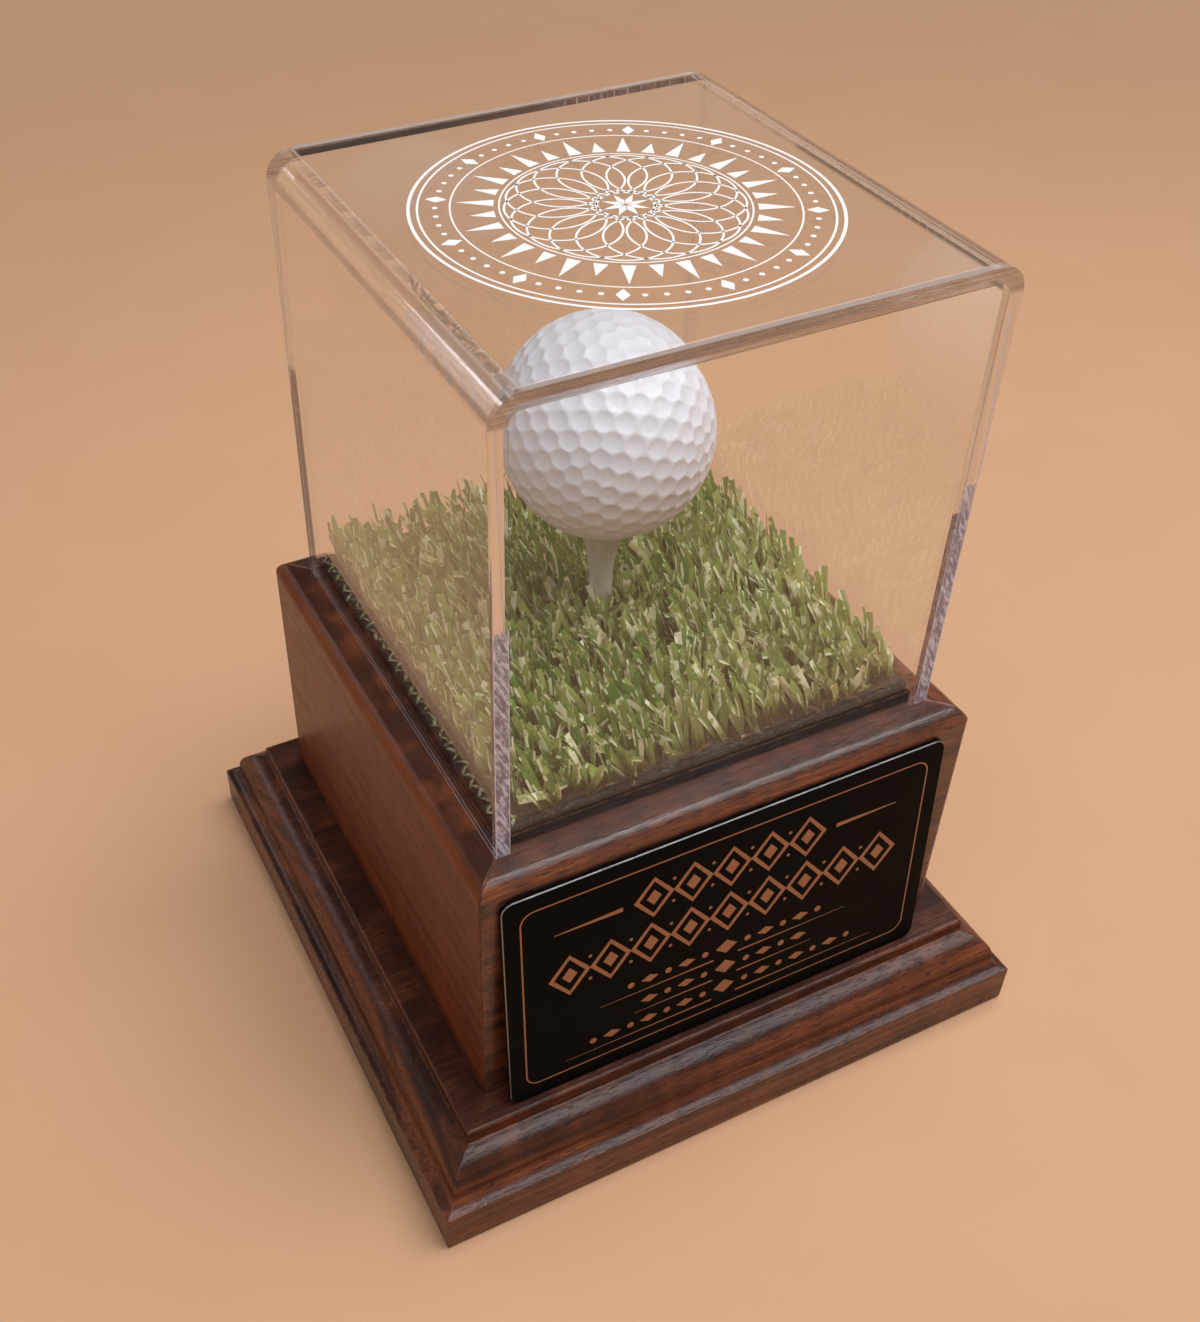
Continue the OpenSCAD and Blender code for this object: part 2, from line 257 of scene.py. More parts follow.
# %% The walnut figure group
def build_walnut_figure():
    """Walnut in three dimensions; X of Position runs with the grain, in millimetres."""
    tree, given, made = new_group(
        "walnut figure",
        {"Position": ("vector", (0, 0, 0)), "Ring Width": ("value", 5.0), "Pore Strength": ("value", 1.0),
         "Cross Figure": ("value", 0.3), "Drift": ("value", 14.0),
         "Dark": ("colour", rgb(0.030, 0.008, 0.005)), "Middle": ("colour", rgb(0.150, 0.040, 0.016)),
         "Light": ("colour", rgb(0.29, 0.086, 0.033))},
        {"Color": "colour", "Roughness": "value", "Height": "value"})
    position = given["Position"]
    split = node(tree, "ShaderNodeSeparateXYZ", {"Vector": position})
    drift = noise(tree, stretch(tree, position, 0.2, 1, 1), 0.02, 2.0)
    depth = math_node(tree, "MULTIPLY_ADD", drift, given["Drift"], split.outputs["Z"])
    radius = math_node(tree, "SQRT", math_node(
        tree, "ADD", times(tree, split.outputs["Y"], split.outputs["Y"]), times(tree, depth, depth)))
    layered = node(tree, "ShaderNodeCombineXYZ",
                   {"X": split.outputs["X"], "Y": split.outputs["Y"], "Z": radius}).outputs[0]
    ring = math_node(tree, "FRACT", math_node(tree, "DIVIDE", radius, given["Ring Width"]))
    late_wood = times(tree, remap(tree, ring, 0.15, 0.88), remap(tree, ring, 1.0, 0.92))
    streak = noise(tree, stretch(tree, layered, 0.010, 0.022, 0.30), 1.0, 3.0, 0.6)
    fibre = noise(tree, stretch(tree, layered, 0.045, 1.0, 2.0), 1.0, 4.0, 0.65)
    thread = noise(tree, stretch(tree, position, 0.07, 4.5, 4.5), 1.0, 2.0, 0.6)
    pore = remap(tree, noise(tree, stretch(tree, position, 0.30, 3.6, 3.6), 1.0, 1.0, 0.4), 0.60, 0.70)
    # the tone swings with the streaks, with the cross figure and, darker, with each ring's late wood
    figure = noise(tree, stretch(tree, position, 0.13, 0.035, 0.035), 1.0, 2.0)
    swing = times(tree, math_node(tree, "SUBTRACT", figure, 0.5), times(tree, given["Cross Figure"], 3.0))
    tone = math_node(tree, "MULTIPLY_ADD", streak, 1.7, swing)
    tone = math_node(tree, "SUBTRACT", tone, times(tree, late_wood, 0.22))
    body = mix_colour(tree, remap(tree, tone, 0.30, 1.08), given["Dark"], given["Middle"])
    lit = times(tree, remap(tree, fibre, 0.40, 0.72), remap(tree, tone, 0.55, 1.15))
    body = mix_colour(tree, lit, body, given["Light"])
    body = mix_colour(tree, times(tree, remap(tree, thread, 0.55, 0.38), 0.35), body, given["Dark"])
    pore_shade = times(tree, pore, given["Pore Strength"])
    body = mix_colour(tree, times(tree, pore_shade, 0.8), body, rgb(0.010, 0.004, 0.003))
    tree.links.new(body, made["Color"])
    gloss = math_node(tree, "MULTIPLY_ADD", pore_shade, 0.25, remap(tree, fibre, 0.3, 0.7, 0.26, 0.38))
    tree.links.new(gloss, made["Roughness"])
    grit = noise(tree, stretch(tree, position, 0.8, 3.0, 3.0), 1.0, 1.0, 0.5)
    relief = times(tree, math_node(tree, "ADD", fibre, thread), 0.3)
    relief = math_node(tree, "SUBTRACT", math_node(tree, "MULTIPLY_ADD", grit, 0.35, relief), pore_shade)
    tree.links.new(relief, made["Height"])
    return tree


walnut_figure = build_walnut_figure()
print("walnut figure uses", len(walnut_figure.nodes), "nodes")


# %% [markdown]
# Lacquer pools and dulls a little where hands and cloths rub, most of all on sharp edges. A Bevel node in
# each material gives a normal that is smoothed over a small radius. The wear group finds the edges by
# comparing the true normal with it, and they are painted a paler walnut, partly wear and partly a painted
# highlight. The same soft normal lets every sawn arris catch a thin line of light, as a sanded edge does.

# %% The edge wear group
def build_wear_and_highlight_mask():
    """A mask that is 1 on sharp edges, broken up by noise."""
    tree, given, made = new_group(
        "edge wear", {"Position": ("vector", (0, 0, 0)), "Soft Normal": ("vector", (0, 0, 1)),
                      "Amount": ("value", 1.0)}, {"Mask": "value"})
    flat = node(tree, "ShaderNodeNewGeometry").outputs["Normal"]
    same = node(tree, "ShaderNodeVectorMath", {0: given["Soft Normal"], 1: flat},
                operation="DOT_PRODUCT").outputs["Value"]
    edge = remap(tree, same, 0.995, 0.86)
    patchy = remap(tree, noise(tree, given["Position"], 0.35, 3.0), 0.35, 0.65)
    tree.links.new(times(tree, edge, patchy, given["Amount"]), made["Mask"])
    return tree


wear_and_highlight = build_wear_and_highlight_mask()
print("edge wear uses", len(wear_and_highlight.nodes), "nodes")

# %% [markdown]
# The boards were sawn from different places in the log, so shift and turn place each of them in the same
# solid figure, and each shows a grain of its own. The satin lacquer is a thin coat with a soft shine. Level
# faces are painted deeper than the upright ones, in soft clouds: a painted shade where less light falls.

# %% Walnut for boards and plinth
EDGE_RADIUS = 0.8 * MM                # how far a sanded edge is rounded
# the paler edge tone is partly wear and partly a painted highlight
EDGE_SHARE = 0.4                      # how much of the worn tone an edge takes
WORN_AND_LIT_WALNUT = rgb(0.36, 0.15, 0.08)
TOP_SHADE_WALNUT = rgb(0.022, 0.007, 0.005)


def walnut_material(name, turn=0.0, shift=(0.0, 0.0, 0.0), ring_width=5.0, cross=0.3, others=None,
                    gloss=0.30, coat=0.4, relief=0.16, painted_top_shade=0.0):
    """Satin lacquered walnut, its grain along X and turned by turn degrees; level faces get painted shade."""
    material, tree, place = new_material(name)
    along = node(tree, "ShaderNodeMapping",
                 {"Vector": place, "Location": shift, "Rotation": (0, 0, math.radians(turn))}).outputs[0]
    inputs = {"Position": along, "Ring Width": ring_width, "Cross Figure": cross}
    inputs.update(others or {})
    figure = use_group(tree, walnut_figure, inputs)
    soft = node(tree, "ShaderNodeBevel", {"Radius": EDGE_RADIUS}, samples=8).outputs["Normal"]
    edge = use_group(tree, wear_and_highlight, {"Position": place, "Soft Normal": soft, "Amount": EDGE_SHARE})
    facing = node(tree, "ShaderNodeSeparateXYZ",
                  {"Vector": node(tree, "ShaderNodeTexCoord").outputs["Normal"]}).outputs["Z"]
    # painted shade: level faces darken in soft clouds, as where less light falls on them
    clouds = remap(tree, noise(tree, place, 0.11, 2.0), 0.34, 0.58, 0.45, 1.0)
    level = remap(tree, facing, 0.55, 0.95, 0.0, painted_top_shade)
    colour = mix_colour(tree, times(tree, level, clouds), figure["Color"], TOP_SHADE_WALNUT)
    # edges turn a paler walnut: partly wear, partly a painted highlight
    colour = mix_colour(tree, edge["Mask"], colour, WORN_AND_LIT_WALNUT)
    grain = bump(tree, figure["Height"], relief, soft)
    shader = node(tree, "ShaderNodeBsdfPrincipled", {
        "Base Color": colour, "Roughness": figure["Roughness"], "IOR": 1.5,
        "Specular IOR Level": gloss, "Coat Weight": coat, "Coat Roughness": 0.27,
        "Normal": grain, "Coat Normal": soft})
    finish_material(tree, shader.outputs[0])
    return material


dress(walnut_material("walnut_plinth", shift=(12, 9, 240), ring_width=2.8, cross=0.25, others={"Drift": 7.0},
                      gloss=0.2, coat=0.22, relief=0.10, painted_top_shade=0.75), "plinth")
dress(walnut_material("walnut_front", shift=(60, 20, 30), cross=0.35, gloss=0.34, coat=0.5, relief=0.20,
                      painted_top_shade=0.4), "front_board")
dress(walnut_material("walnut_rear", shift=(-80, -30, 42), ring_width=5.5), "rear_board")
# painted light: the left board's paler, plainer palette is partly its own wood and partly light falling on
# that side
QUIET_PALE_AND_LIT = {"Dark": rgb(0.105, 0.027, 0.009), "Middle": rgb(0.185, 0.047, 0.015),
         "Light": rgb(0.24, 0.070, 0.023), "Pore Strength": 0.35}
dress(walnut_material("walnut_left", turn=90, shift=(35, 12, 36), ring_width=5.5, others=QUIET_PALE_AND_LIT, gloss=0.15,
                      coat=0.1, relief=0.06, painted_top_shade=0.9), "left_board")
dress(walnut_material("walnut_right", turn=90, shift=(-50, -16, 30), cross=0.2), "right_board")
# the deck is coloured nearly black
NEAR_BLACK_WALNUT = {"Dark": rgb(0.006, 0.003, 0.002), "Middle": rgb(0.014, 0.008, 0.005),
              "Light": rgb(0.03, 0.016, 0.011)}
dress(walnut_material("walnut_deck", shift=(0, 0, 25), ring_width=4.0, cross=0.1, others=NEAR_BLACK_WALNUT,
                      gloss=0.03, coat=0.0), "deck_panel")
PALE_PINE = {"Dark": rgb(0.34, 0.19, 0.08), "Middle": rgb(0.52, 0.34, 0.17), "Light": rgb(0.66, 0.48, 0.28)}
dress(walnut_material("pine_blocks", shift=(9, 4, 12), ring_width=3.0, cross=0.1, others=PALE_PINE),
      "block_front_left", "block_front_right", "block_rear_left", "block_rear_right")

# %% [markdown]
# ## Hidden hardware
# The felt pads and the countersunk screws are seen only from below, and the foam strips only from the side,
# in the thin wedge behind the plaque. They still get true finishes: matted fibres, plated steel with a
# brushed spin, and open-cell foam.

# %% Felt, zinc and foam
def plain_material(name, first, second, scale, roughness, relief, metallic=0.0):
    """Two colours mottled by noise, with the same noise as relief."""
    material, tree, place = new_material(name)
    grain = noise(tree, place, scale, 4.0, 0.6)
    shader = node(tree, "ShaderNodeBsdfPrincipled", {
        "Base Color": mix_colour(tree, remap(tree, grain, 0.3, 0.7), first, second),
        "Roughness": remap(tree, grain, 0.3, 0.7, roughness - 0.08, roughness + 0.08),
        "Metallic": metallic, "Normal": bump(tree, grain, relief)})
    finish_material(tree, shader.outputs[0])
    return material


dress(plain_material("felt", rgb(0.02, 0.02, 0.022), rgb(0.06, 0.06, 0.065), 3.0, 0.9, 0.2),
      "pad_front_left", "pad_front_right", "pad_rear_left", "pad_rear_right")
dress(plain_material("zinc_plate", rgb(0.55, 0.46, 0.24), rgb(0.72, 0.62, 0.36), 1.5, 0.32, 0.02, 1.0),
      "base_screws", "deck_screws")
dress(plain_material("foam_tape", rgb(0.07, 0.07, 0.07), rgb(0.14, 0.14, 0.14), 4.0, 0.85, 0.15),
      "plaque_tape")

# %% [markdown]
# ## Tee
# The tee is turned hardwood under a thin white lacquer. The lacquer leaves faint rings from turning and
# hints of the grain, and is glossier than bare wood.

# %% Tee lacquer
def tee_material():
    """White lacquer with rings from turning round the tee and a hint of grain along it."""
    material, tree, place = new_material("tee_lacquer")
    rings = noise(tree, stretch(tree, place, 0.1, 0.1, 1.6), 1.0, 3.0)
    grain = noise(tree, stretch(tree, place, 2.0, 2.0, 0.2), 1.0, 4.0)
    colour = mix_colour(tree, remap(tree, grain, 0.35, 0.75), rgb(0.72, 0.66, 0.58), rgb(0.80, 0.76, 0.69))
    relief = math_node(tree, "ADD", rings, times(tree, grain, 0.5))
    shader = node(tree, "ShaderNodeBsdfPrincipled", {
        "Base Color": colour, "Roughness": remap(tree, grain, 0.3, 0.7, 0.34, 0.44),
        "Coat Weight": 0.3, "Coat Roughness": 0.2, "Normal": bump(tree, relief, 0.04)})
    finish_material(tree, shader.outputs[0])
    return material


dress(tee_material(), "tee")

# %% [markdown]
# ## Building meshes
# Modelled pieces are lists of points and faces. This helper turns them into an object, gives it its finish,
# and makes it move with the body that carries it.

# %% Helper for modelled pieces
def new_piece(name, points, faces, materials, body, slot, smooth=True):
    """A mesh object from points in metres, riding on a body of the frame."""
    mesh = bpy.data.meshes.new(name)
    mesh.from_pydata([tuple(p) for p in points], [], faces)
    mesh.validate()
    mesh.update()
    for material in materials:
        mesh.materials.append(material)
    mesh.polygons.foreach_set("use_smooth", [smooth] * len(mesh.polygons))
    piece = bpy.data.objects.new(name, mesh)
    scene.collection.objects.link(piece)
    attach(piece, body)
    print(name, len(mesh.vertices), "points,", len(mesh.polygons), "faces")
    return piece


# %% [markdown]
# ## Golf ball
# A ball's cover is moulded with several hundred shallow round dimples, packed like the cells of an
# icosahedral shell: five-fold at twelve points and six-fold everywhere else. Each of the twenty triangles of
# an icosahedron is filled with points of a skewed hexagonal lattice, which gives 392 centres.

# %% Find the dimple centres
LATTICE = (5, 2)                      # steps along the two lattice directions between five-fold points
DIMPLE_SHARE = 0.48                   # dimple radius as a share of the mean spacing
DIMPLE_DEPTH = 0.33 * MM
DIMPLE_WALL = 2.4                     # how steep the wall is; 2 would be a plain bowl
SPHERE_STEPS = 96                     # edges of the fine sphere along each side of the icosahedron

ball_low, ball_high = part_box("golf_ball")
ball_centre = (ball_low + ball_high) / 2
ball_r = (ball_high.z - ball_low.z) / 2


def dimple_centres(steps):
    """Unit vectors to the lattice points of an icosahedral shell."""
    shell = bmesh.new()
    bmesh.ops.create_icosphere(shell, subdivisions=1, radius=1.0)
    m, n = steps
    total = m * m + m * n + n * n
    found = {}
    for face in shell.faces:
        a, b, c = (v.co for v in face.verts)
        for i in range(-n, m + 1):
            for j in range(0, m + n + 1):
                # weights of the lattice point (i, j) in the triangle (0,0), (m,n), (-n,m+n)
                wb = (i * (m + n) + j * n) / total
                wc = (j * m - i * n) / total
                wa = 1 - wb - wc
                if min(wa, wb, wc) > -1e-9:
                    point = (a * wa + b * wb + c * wc).normalized()
                    found[tuple(round(v, 4) for v in point)] = point
    shell.free()
    return np.array(list(found.values()))


centres = dimple_centres(LATTICE)
spacing = ball_r * math.sqrt(8 * math.pi / math.sqrt(3) / len(centres))
print(len(centres), "dimples, mean spacing %.2f mm" % (spacing / MM))

# %% [markdown]
# A bump texture would leave the ball's outline round and its shading soft. Real relief matters here, because
# each dimple has its own shade. A fine sphere, cut from the same icosahedron so that its faces are all alike,
# is pressed in around each centre. The walls are steep and the bottoms nearly flat, so the rim of each dimple
# reads as a crisp line.

# %% Press the dimples into a fine sphere
def fine_sphere(steps):
    """Unit vectors and faces of an icosahedron whose sides are cut into steps."""
    shell = bmesh.new()
    bmesh.ops.create_icosphere(shell, subdivisions=1, radius=1.0)
    numbers, directions, faces = {}, [], []
    for face in shell.faces:
        a, b, c = (np.array(v.co) for v in face.verts)
        grid = {}
        for i in range(steps + 1):
            for j in range(steps + 1 - i):
                point = a * (steps - i - j) + b * i + c * j
                point = point / math.sqrt(point @ point)
                key = tuple(np.round(point, 5))
                if key not in numbers:
                    numbers[key] = len(directions)
                    directions.append(point)
                grid[i, j] = numbers[key]
        for i in range(steps):
            for j in range(steps - i):
                faces.append([grid[i, j], grid[i + 1, j], grid[i, j + 1]])
                if i + j < steps - 1:
                    faces.append([grid[i + 1, j], grid[i + 1, j + 1], grid[i, j + 1]])
    shell.free()
    return np.array(directions), faces


def dimpled_sphere():
    """Points and faces of the ball."""
    directions, faces = fine_sphere(SPHERE_STEPS)
    nearest = np.concatenate([(part @ centres.T).max(1) for part in np.array_split(directions, 40)])
    reach = np.arccos(np.clip(nearest, -1, 1)) * ball_r / (spacing * DIMPLE_SHARE)
    pressed = DIMPLE_DEPTH * np.clip(1 - reach ** DIMPLE_WALL, 0, 1)
    return directions * (ball_r - pressed)[:, None] + np.array(ball_centre), faces


def ball_material():
    """White moulded cover under a clear coat, with a barely uneven skin."""
    material, tree, place = new_material("ball_cover")
    skin = noise(tree, place, 1.2, 3.0)
    colour = mix_colour(tree, remap(tree, skin, 0.35, 0.7), rgb(0.75, 0.79, 0.87), rgb(0.80, 0.83, 0.90))
    shader = node(tree, "ShaderNodeBsdfPrincipled", {
        "Base Color": colour, "Roughness": remap(tree, skin, 0.3, 0.7, 0.34, 0.42),
        "Coat Weight": 0.25, "Coat Roughness": 0.28, "Normal": bump(tree, skin, 0.01)})
    finish_material(tree, shader.outputs[0])
    return material


BALL_TILT = Matrix.Rotation(math.radians(20), 3, "X") @ Matrix.Rotation(math.radians(12), 3, "Z")
centres = centres @ np.array(BALL_TILT).T
ball_points, ball_faces = dimpled_sphere()
ball = new_piece("golf_ball_dimpled", ball_points, ball_faces, [ball_material()], "ball", "ball_cover")
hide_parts("golf_ball")

# %% [markdown]
# ## Woven mat
# The turf is tufted into a black woven backing. It was cut by hand, so its edges wander, and its weave shows
# as a fine basket relief. A grid of points with a basket height gives the relief, and the outermost rows are
# pulled in by a slow random wave. First the wave: random knots with a smooth step between them.

# %% A wandering edge
WEAVE_PITCH = 1.8 * MM
WEAVE_RELIEF = 0.22 * MM
CUT_WANDER = 0.7 * MM
mat_low, mat_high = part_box("turf_backing")
pile_low, pile_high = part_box("turf_pile")
tee_low, tee_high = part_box("tee")
tee_x, tee_y = (tee_low.x + tee_high.x) / 2, (tee_low.y + tee_high.y) / 2


def wander(seed, count, amount):
    """A smooth random wave between 0 and amount with count samples."""
    rng = random.Random(seed)
    knots = [rng.random() for _ in range(count // 4 + 3)]
    wave = []
    for k in range(count):
        place = k / 4
        whole = int(place)
        share = place - whole
        share = share * share * (3 - 2 * share)
        wave.append(amount * (knots[whole] * (1 - share) + knots[whole + 1] * share))
    return wave


print("mat is", round((mat_high.x - mat_low.x) / MM, 1), "mm wide")

# %% [markdown]
# The mat is built as two grids, the flat underside and the woven top, with a rim between them. The basket
# height is a product of two sine waves, one along each set of threads.

# %% Weave the mat
MAT_STEPS = 120                       # squares of the grid along each side


def weave_mat():
    """A thick sheet with a basket relief on top and wandering cut edges."""
    steps = MAT_STEPS
    waves = [wander(seed, steps + 1, CUT_WANDER) for seed in (3, 5, 7, 9)]
    points, faces = [], []
    for level in (0, 1, 2):
        for j in range(steps + 1):
            for i in range(steps + 1):
                u, v = i / steps, j / steps
                x = mat_low.x + waves[0][j] + u * (mat_high.x - mat_low.x - waves[0][j] - waves[1][j])
                y = mat_low.y + waves[2][i] + v * (mat_high.y - mat_low.y - waves[2][i] - waves[3][i])
                basket = math.sin(math.pi * x / WEAVE_PITCH) * math.sin(math.pi * y / WEAVE_PITCH)
                top = mat_high.z - WEAVE_RELIEF * (1 - basket) / 2
                z = (mat_low.z, (mat_low.z + top) / 2, top)[level]
                if level != 1 or i in (0, steps) or j in (0, steps):
                    points.append((x, y, z))
                else:
                    points.append(None)
    keep = [k for k, p in enumerate(points) if p is not None]
    new_index = {k: n for n, k in enumerate(keep)}
    row = steps + 1

    def corner(level, i, j):
        return new_index[level * row * row + j * row + i]

    for j in range(steps):
        for i in range(steps):
            square = [(i, j), (i + 1, j), (i + 1, j + 1), (i, j + 1)]
            faces.append([corner(2, *s) for s in square])
            faces.append([corner(0, *s) for s in reversed(square)])
    rim = ([(i, 0) for i in range(steps)] + [(steps, j) for j in range(steps)]
           + [(i, steps) for i in range(steps, 0, -1)] + [(0, j) for j in range(steps, 0, -1)])
    for k, (i, j) in enumerate(rim):
        ni, nj = rim[(k + 1) % len(rim)]
        for level in (0, 1):
            faces.append([corner(level, i, j), corner(level, ni, nj), corner(level + 1, ni, nj),
                          corner(level + 1, i, j)])
    return [points[k] for k in keep], faces


def mat_material():
    """Black threads with fluff between them and a few strands painted paler, a painted glint."""
    material, tree, place = new_material("woven_backing")
    threads = noise(tree, stretch(tree, place, 0.8, 6.0, 2.0), 1.0, 3.0)
    fluff = noise(tree, place, 2.5, 4.0)
    colour = mix_colour(tree, remap(tree, fluff, 0.50, 0.72), rgb(0.004, 0.0035, 0.0035),
                        rgb(0.032, 0.024, 0.022))
    # painted glint: a few strands are painted paler
    glint_strands = noise(tree, stretch(tree, place, 0.7, 6.0, 5.0), 1.0, 2.0)
    colour = mix_colour(tree, remap(tree, glint_strands, 0.60, 0.68), colour, rgb(0.085, 0.065, 0.06))
    shader = node(tree, "ShaderNodeBsdfPrincipled", {
        "Base Color": colour, "Roughness": remap(tree, threads, 0.3, 0.7, 0.38, 0.6),
        "Normal": bump(tree, math_node(tree, "ADD", threads, fluff), 0.3)})
    finish_material(tree, shader.outputs[0])
    return material


mat = new_piece("turf_mat", *weave_mat(), [mat_material()], "base", "backing")
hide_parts("turf_backing")

# %% [markdown]
# ## Turf pile
# The pile is slit plastic ribbon. Each stitch of the tufting machine leaves a tuft, and its ribbons rise from
# one spot and fan out, so the turf has rows with gaps between them. A ribbon keeps its width all the way up
# and is cut off blunt. Most stand nearly upright and lean the way the nap was brushed, some are kinked, and
# short crimped brown ribbons, the thatch, fill the gaps near the mat. All of them are modelled, because
# their tips, gaps and gleams are what the eye reads as turf. Three numbers travel with every point, so that
# the material can colour it: reach, which is how far up the ribbon it is, side, which is the ribbon's left
# edge, crease or right edge, and tone, which each ribbon has of its own.

# %% Sizes of the pile
ROW_GAP = 3.1 * MM                    # between stitched rows, across X
TUFT_GAP = 4.9 * MM                   # between tufts in a row, along Y
RIBBONS_PER_TUFT = 6
THATCH_PER_TUFT = 4
RIBBON_WIDTH = (1.0 * MM, 1.7 * MM)
RIBBON_LENGTH = (9.0 * MM, 12.6 * MM)
LOOP_GAP = 1.85 * MM                  # between the stitches of the bare strip
NAP = math.radians(150)               # heading to which the pile was brushed
TEE_ROOM = 3.3 * MM
SEGMENTS = 5
cover_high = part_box("cover_sheet")[1]
panel_low, panel_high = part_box("cover_front_panel")
SHEET_T = panel_high.y - panel_low.y
WALL_X = cover_high.x - SHEET_T - 0.25 * MM
WALL_Y = -panel_high.y - 0.25 * MM
FOOT_Z = mat_high.z - 0.3 * MM
print("pile stands in", round((pile_high.x - pile_low.x) / MM, 1), "by",
      round((pile_high.y - pile_low.y) / MM, 1), "mm")

# %% [markdown]
# One ribbon is built from short steps. Its axis starts near the vertical, tips over a little more at each
# step, and a kink adds one sharp bend. Three points lie across it at each step: the two edges and a slightly
# raised middle, which gives the faint crease that slit film has.

# %% One ribbon
def ribbon(rng, root, heading, lean, curl, length, width, kink, shade, into, left_limit):
    """Adds one creased ribbon to the lists in into; it stays right of left_limit."""
    points, faces, reach, tone, side = into
    turn = rng.gauss(1.25, 0.7)
    twist = rng.gauss(0.0, 0.30)
    crease = width * rng.uniform(0.05, 0.16)
    slant = width * rng.uniform(-0.22, 0.22)
    bend_at = rng.choice((2, 3, 4))
    spot = Vector(root)
    first = len(points)
    for k in range(SEGMENTS + 1):
        share = k / SEGMENTS
        tilt = min(lean + curl * share + (kink if k >= bend_at else 0.0), 2.2)
        ahead = Vector((math.cos(heading), math.sin(heading), 0))
        axis = ahead * math.sin(tilt) + Vector((0, 0, 1)) * math.cos(tilt)
        facing = ahead * math.cos(tilt) - Vector((0, 0, 1)) * math.sin(tilt)
        angle = turn + twist * share
        across = axis.cross(facing) * math.cos(angle) + facing * math.sin(angle)
        normal = axis.cross(across)
        for s in (-1, 0, 1):
            p = spot + across * (s * width / 2)
            if s == 0:
                p = p + normal * crease
            if k == SEGMENTS:
                p = p + axis * slant * s
            p.x = max(left_limit, min(WALL_X, p.x))
            p.y = max(-WALL_Y, min(WALL_Y, p.y))
            p.z = max(p.z, FOOT_Z)
            points.append(p)
            reach.append(share)
            tone.append(shade)
            side.append(s)
        spot = spot + axis * (length / SEGMENTS)
    for k in range(SEGMENTS):
        a = first + 3 * k
        faces.append([a, a + 1, a + 4, a + 3])
        faces.append([a + 1, a + 2, a + 5, a + 4])


print("each ribbon has", 3 * (SEGMENTS + 1), "points")

# %% [markdown]
# The tufting machine works in rows, so the ribbons start from a grid of stitches that is slightly uneven. The
# heading of the nap swings slowly over the square, which gives the pile its soft waves. No ribbon starts
# where the tee stands.

# %% Stitch the rows
def grow_pile():
    """All ribbons and thatch; thatch has a tone below 0."""
    rng = random.Random(17)
    into = ([], [], [], [], [])
    count = 0
    columns = round((pile_high.x - pile_low.x) / ROW_GAP)
    rows = round((pile_high.y - pile_low.y) / TUFT_GAP)
    for i in range(columns):
        for j in range(rows):
            x = pile_low.x + (pile_high.x - pile_low.x) * (i + 0.5 + rng.uniform(-0.20, 0.20)) / columns
            y = pile_low.y + (pile_high.y - pile_low.y) * (j + 0.5 + rng.uniform(-0.20, 0.20)) / rows
            nap = NAP + 0.9 * math.sin(x / (9 * MM) + 1.3) * math.cos(y / (12 * MM))
            for k in range(RIBBONS_PER_TUFT + THATCH_PER_TUFT):
                thatch = k >= RIBBONS_PER_TUFT
                spread = 1.4 if thatch else 0.6
                root = (x + rng.gauss(0, spread) * MM, y + rng.gauss(0, spread) * MM, FOOT_Z)
                if math.hypot(root[0] - tee_x, root[1] - tee_y) < TEE_ROOM:
                    continue
                if thatch:
                    ribbon(rng, root, rng.uniform(0, 6.28), rng.uniform(0.5, 1.2), rng.uniform(0.2, 1.2),
                           rng.uniform(3.0, 5.5) * MM, rng.uniform(0.4, 0.8) * MM, 0.5, -1.0, into,
                           pile_low.x)
                else:
                    kink = rng.uniform(0.4, 1.1) if rng.random() < 0.10 else 0.0
                    size = rng.uniform(*RIBBON_LENGTH) * (0.7 if rng.random() < 0.2 else 1.0)
                    ribbon(rng, root, nap + rng.gauss(0, 0.8), abs(rng.gauss(0.34, 0.20)),
                           abs(rng.gauss(0.0, 0.25)), size, rng.uniform(*RIBBON_WIDTH), kink,
                           rng.random(), into, pile_low.x - rng.uniform(0.0, 0.9) * MM)
                count += 1
    print(count, "ribbons in", columns, "rows")
    return into


blade_points, blade_faces, blade_reach, blade_tone, blade_side = grow_pile()

# %% [markdown]
# Turf looks alive because no two ribbons have one green. The tone picks each ribbon's own green or, rarely,
# straw, and slow patches warm it; the warm patches also grow towards the right, a painted light from that
# side. It turns a darker brown towards the root. Slit film also gleams in short dashes where a ribbon happens
# to face the light. Some dashes are painted in, pale and few, so that they stay crisp at any size of picture;
# the shader's own shine adds the rest. A share of the light passes through the film, as it does through a
# leaf.

# %% Colour the ribbons
GREENS = (rgb(0.070, 0.215, 0.030), rgb(0.215, 0.345, 0.065), rgb(0.41, 0.47, 0.13))
STRAW, WARM_PATCH_AND_LIGHT = rgb(0.74, 0.68, 0.40), rgb(0.52, 0.50, 0.19)
ROOT_BROWN, THATCH_BROWN = rgb(0.15, 0.12, 0.045), rgb(0.15, 0.095, 0.042)
GLEAM = rgb(1.0, 0.97, 0.72)


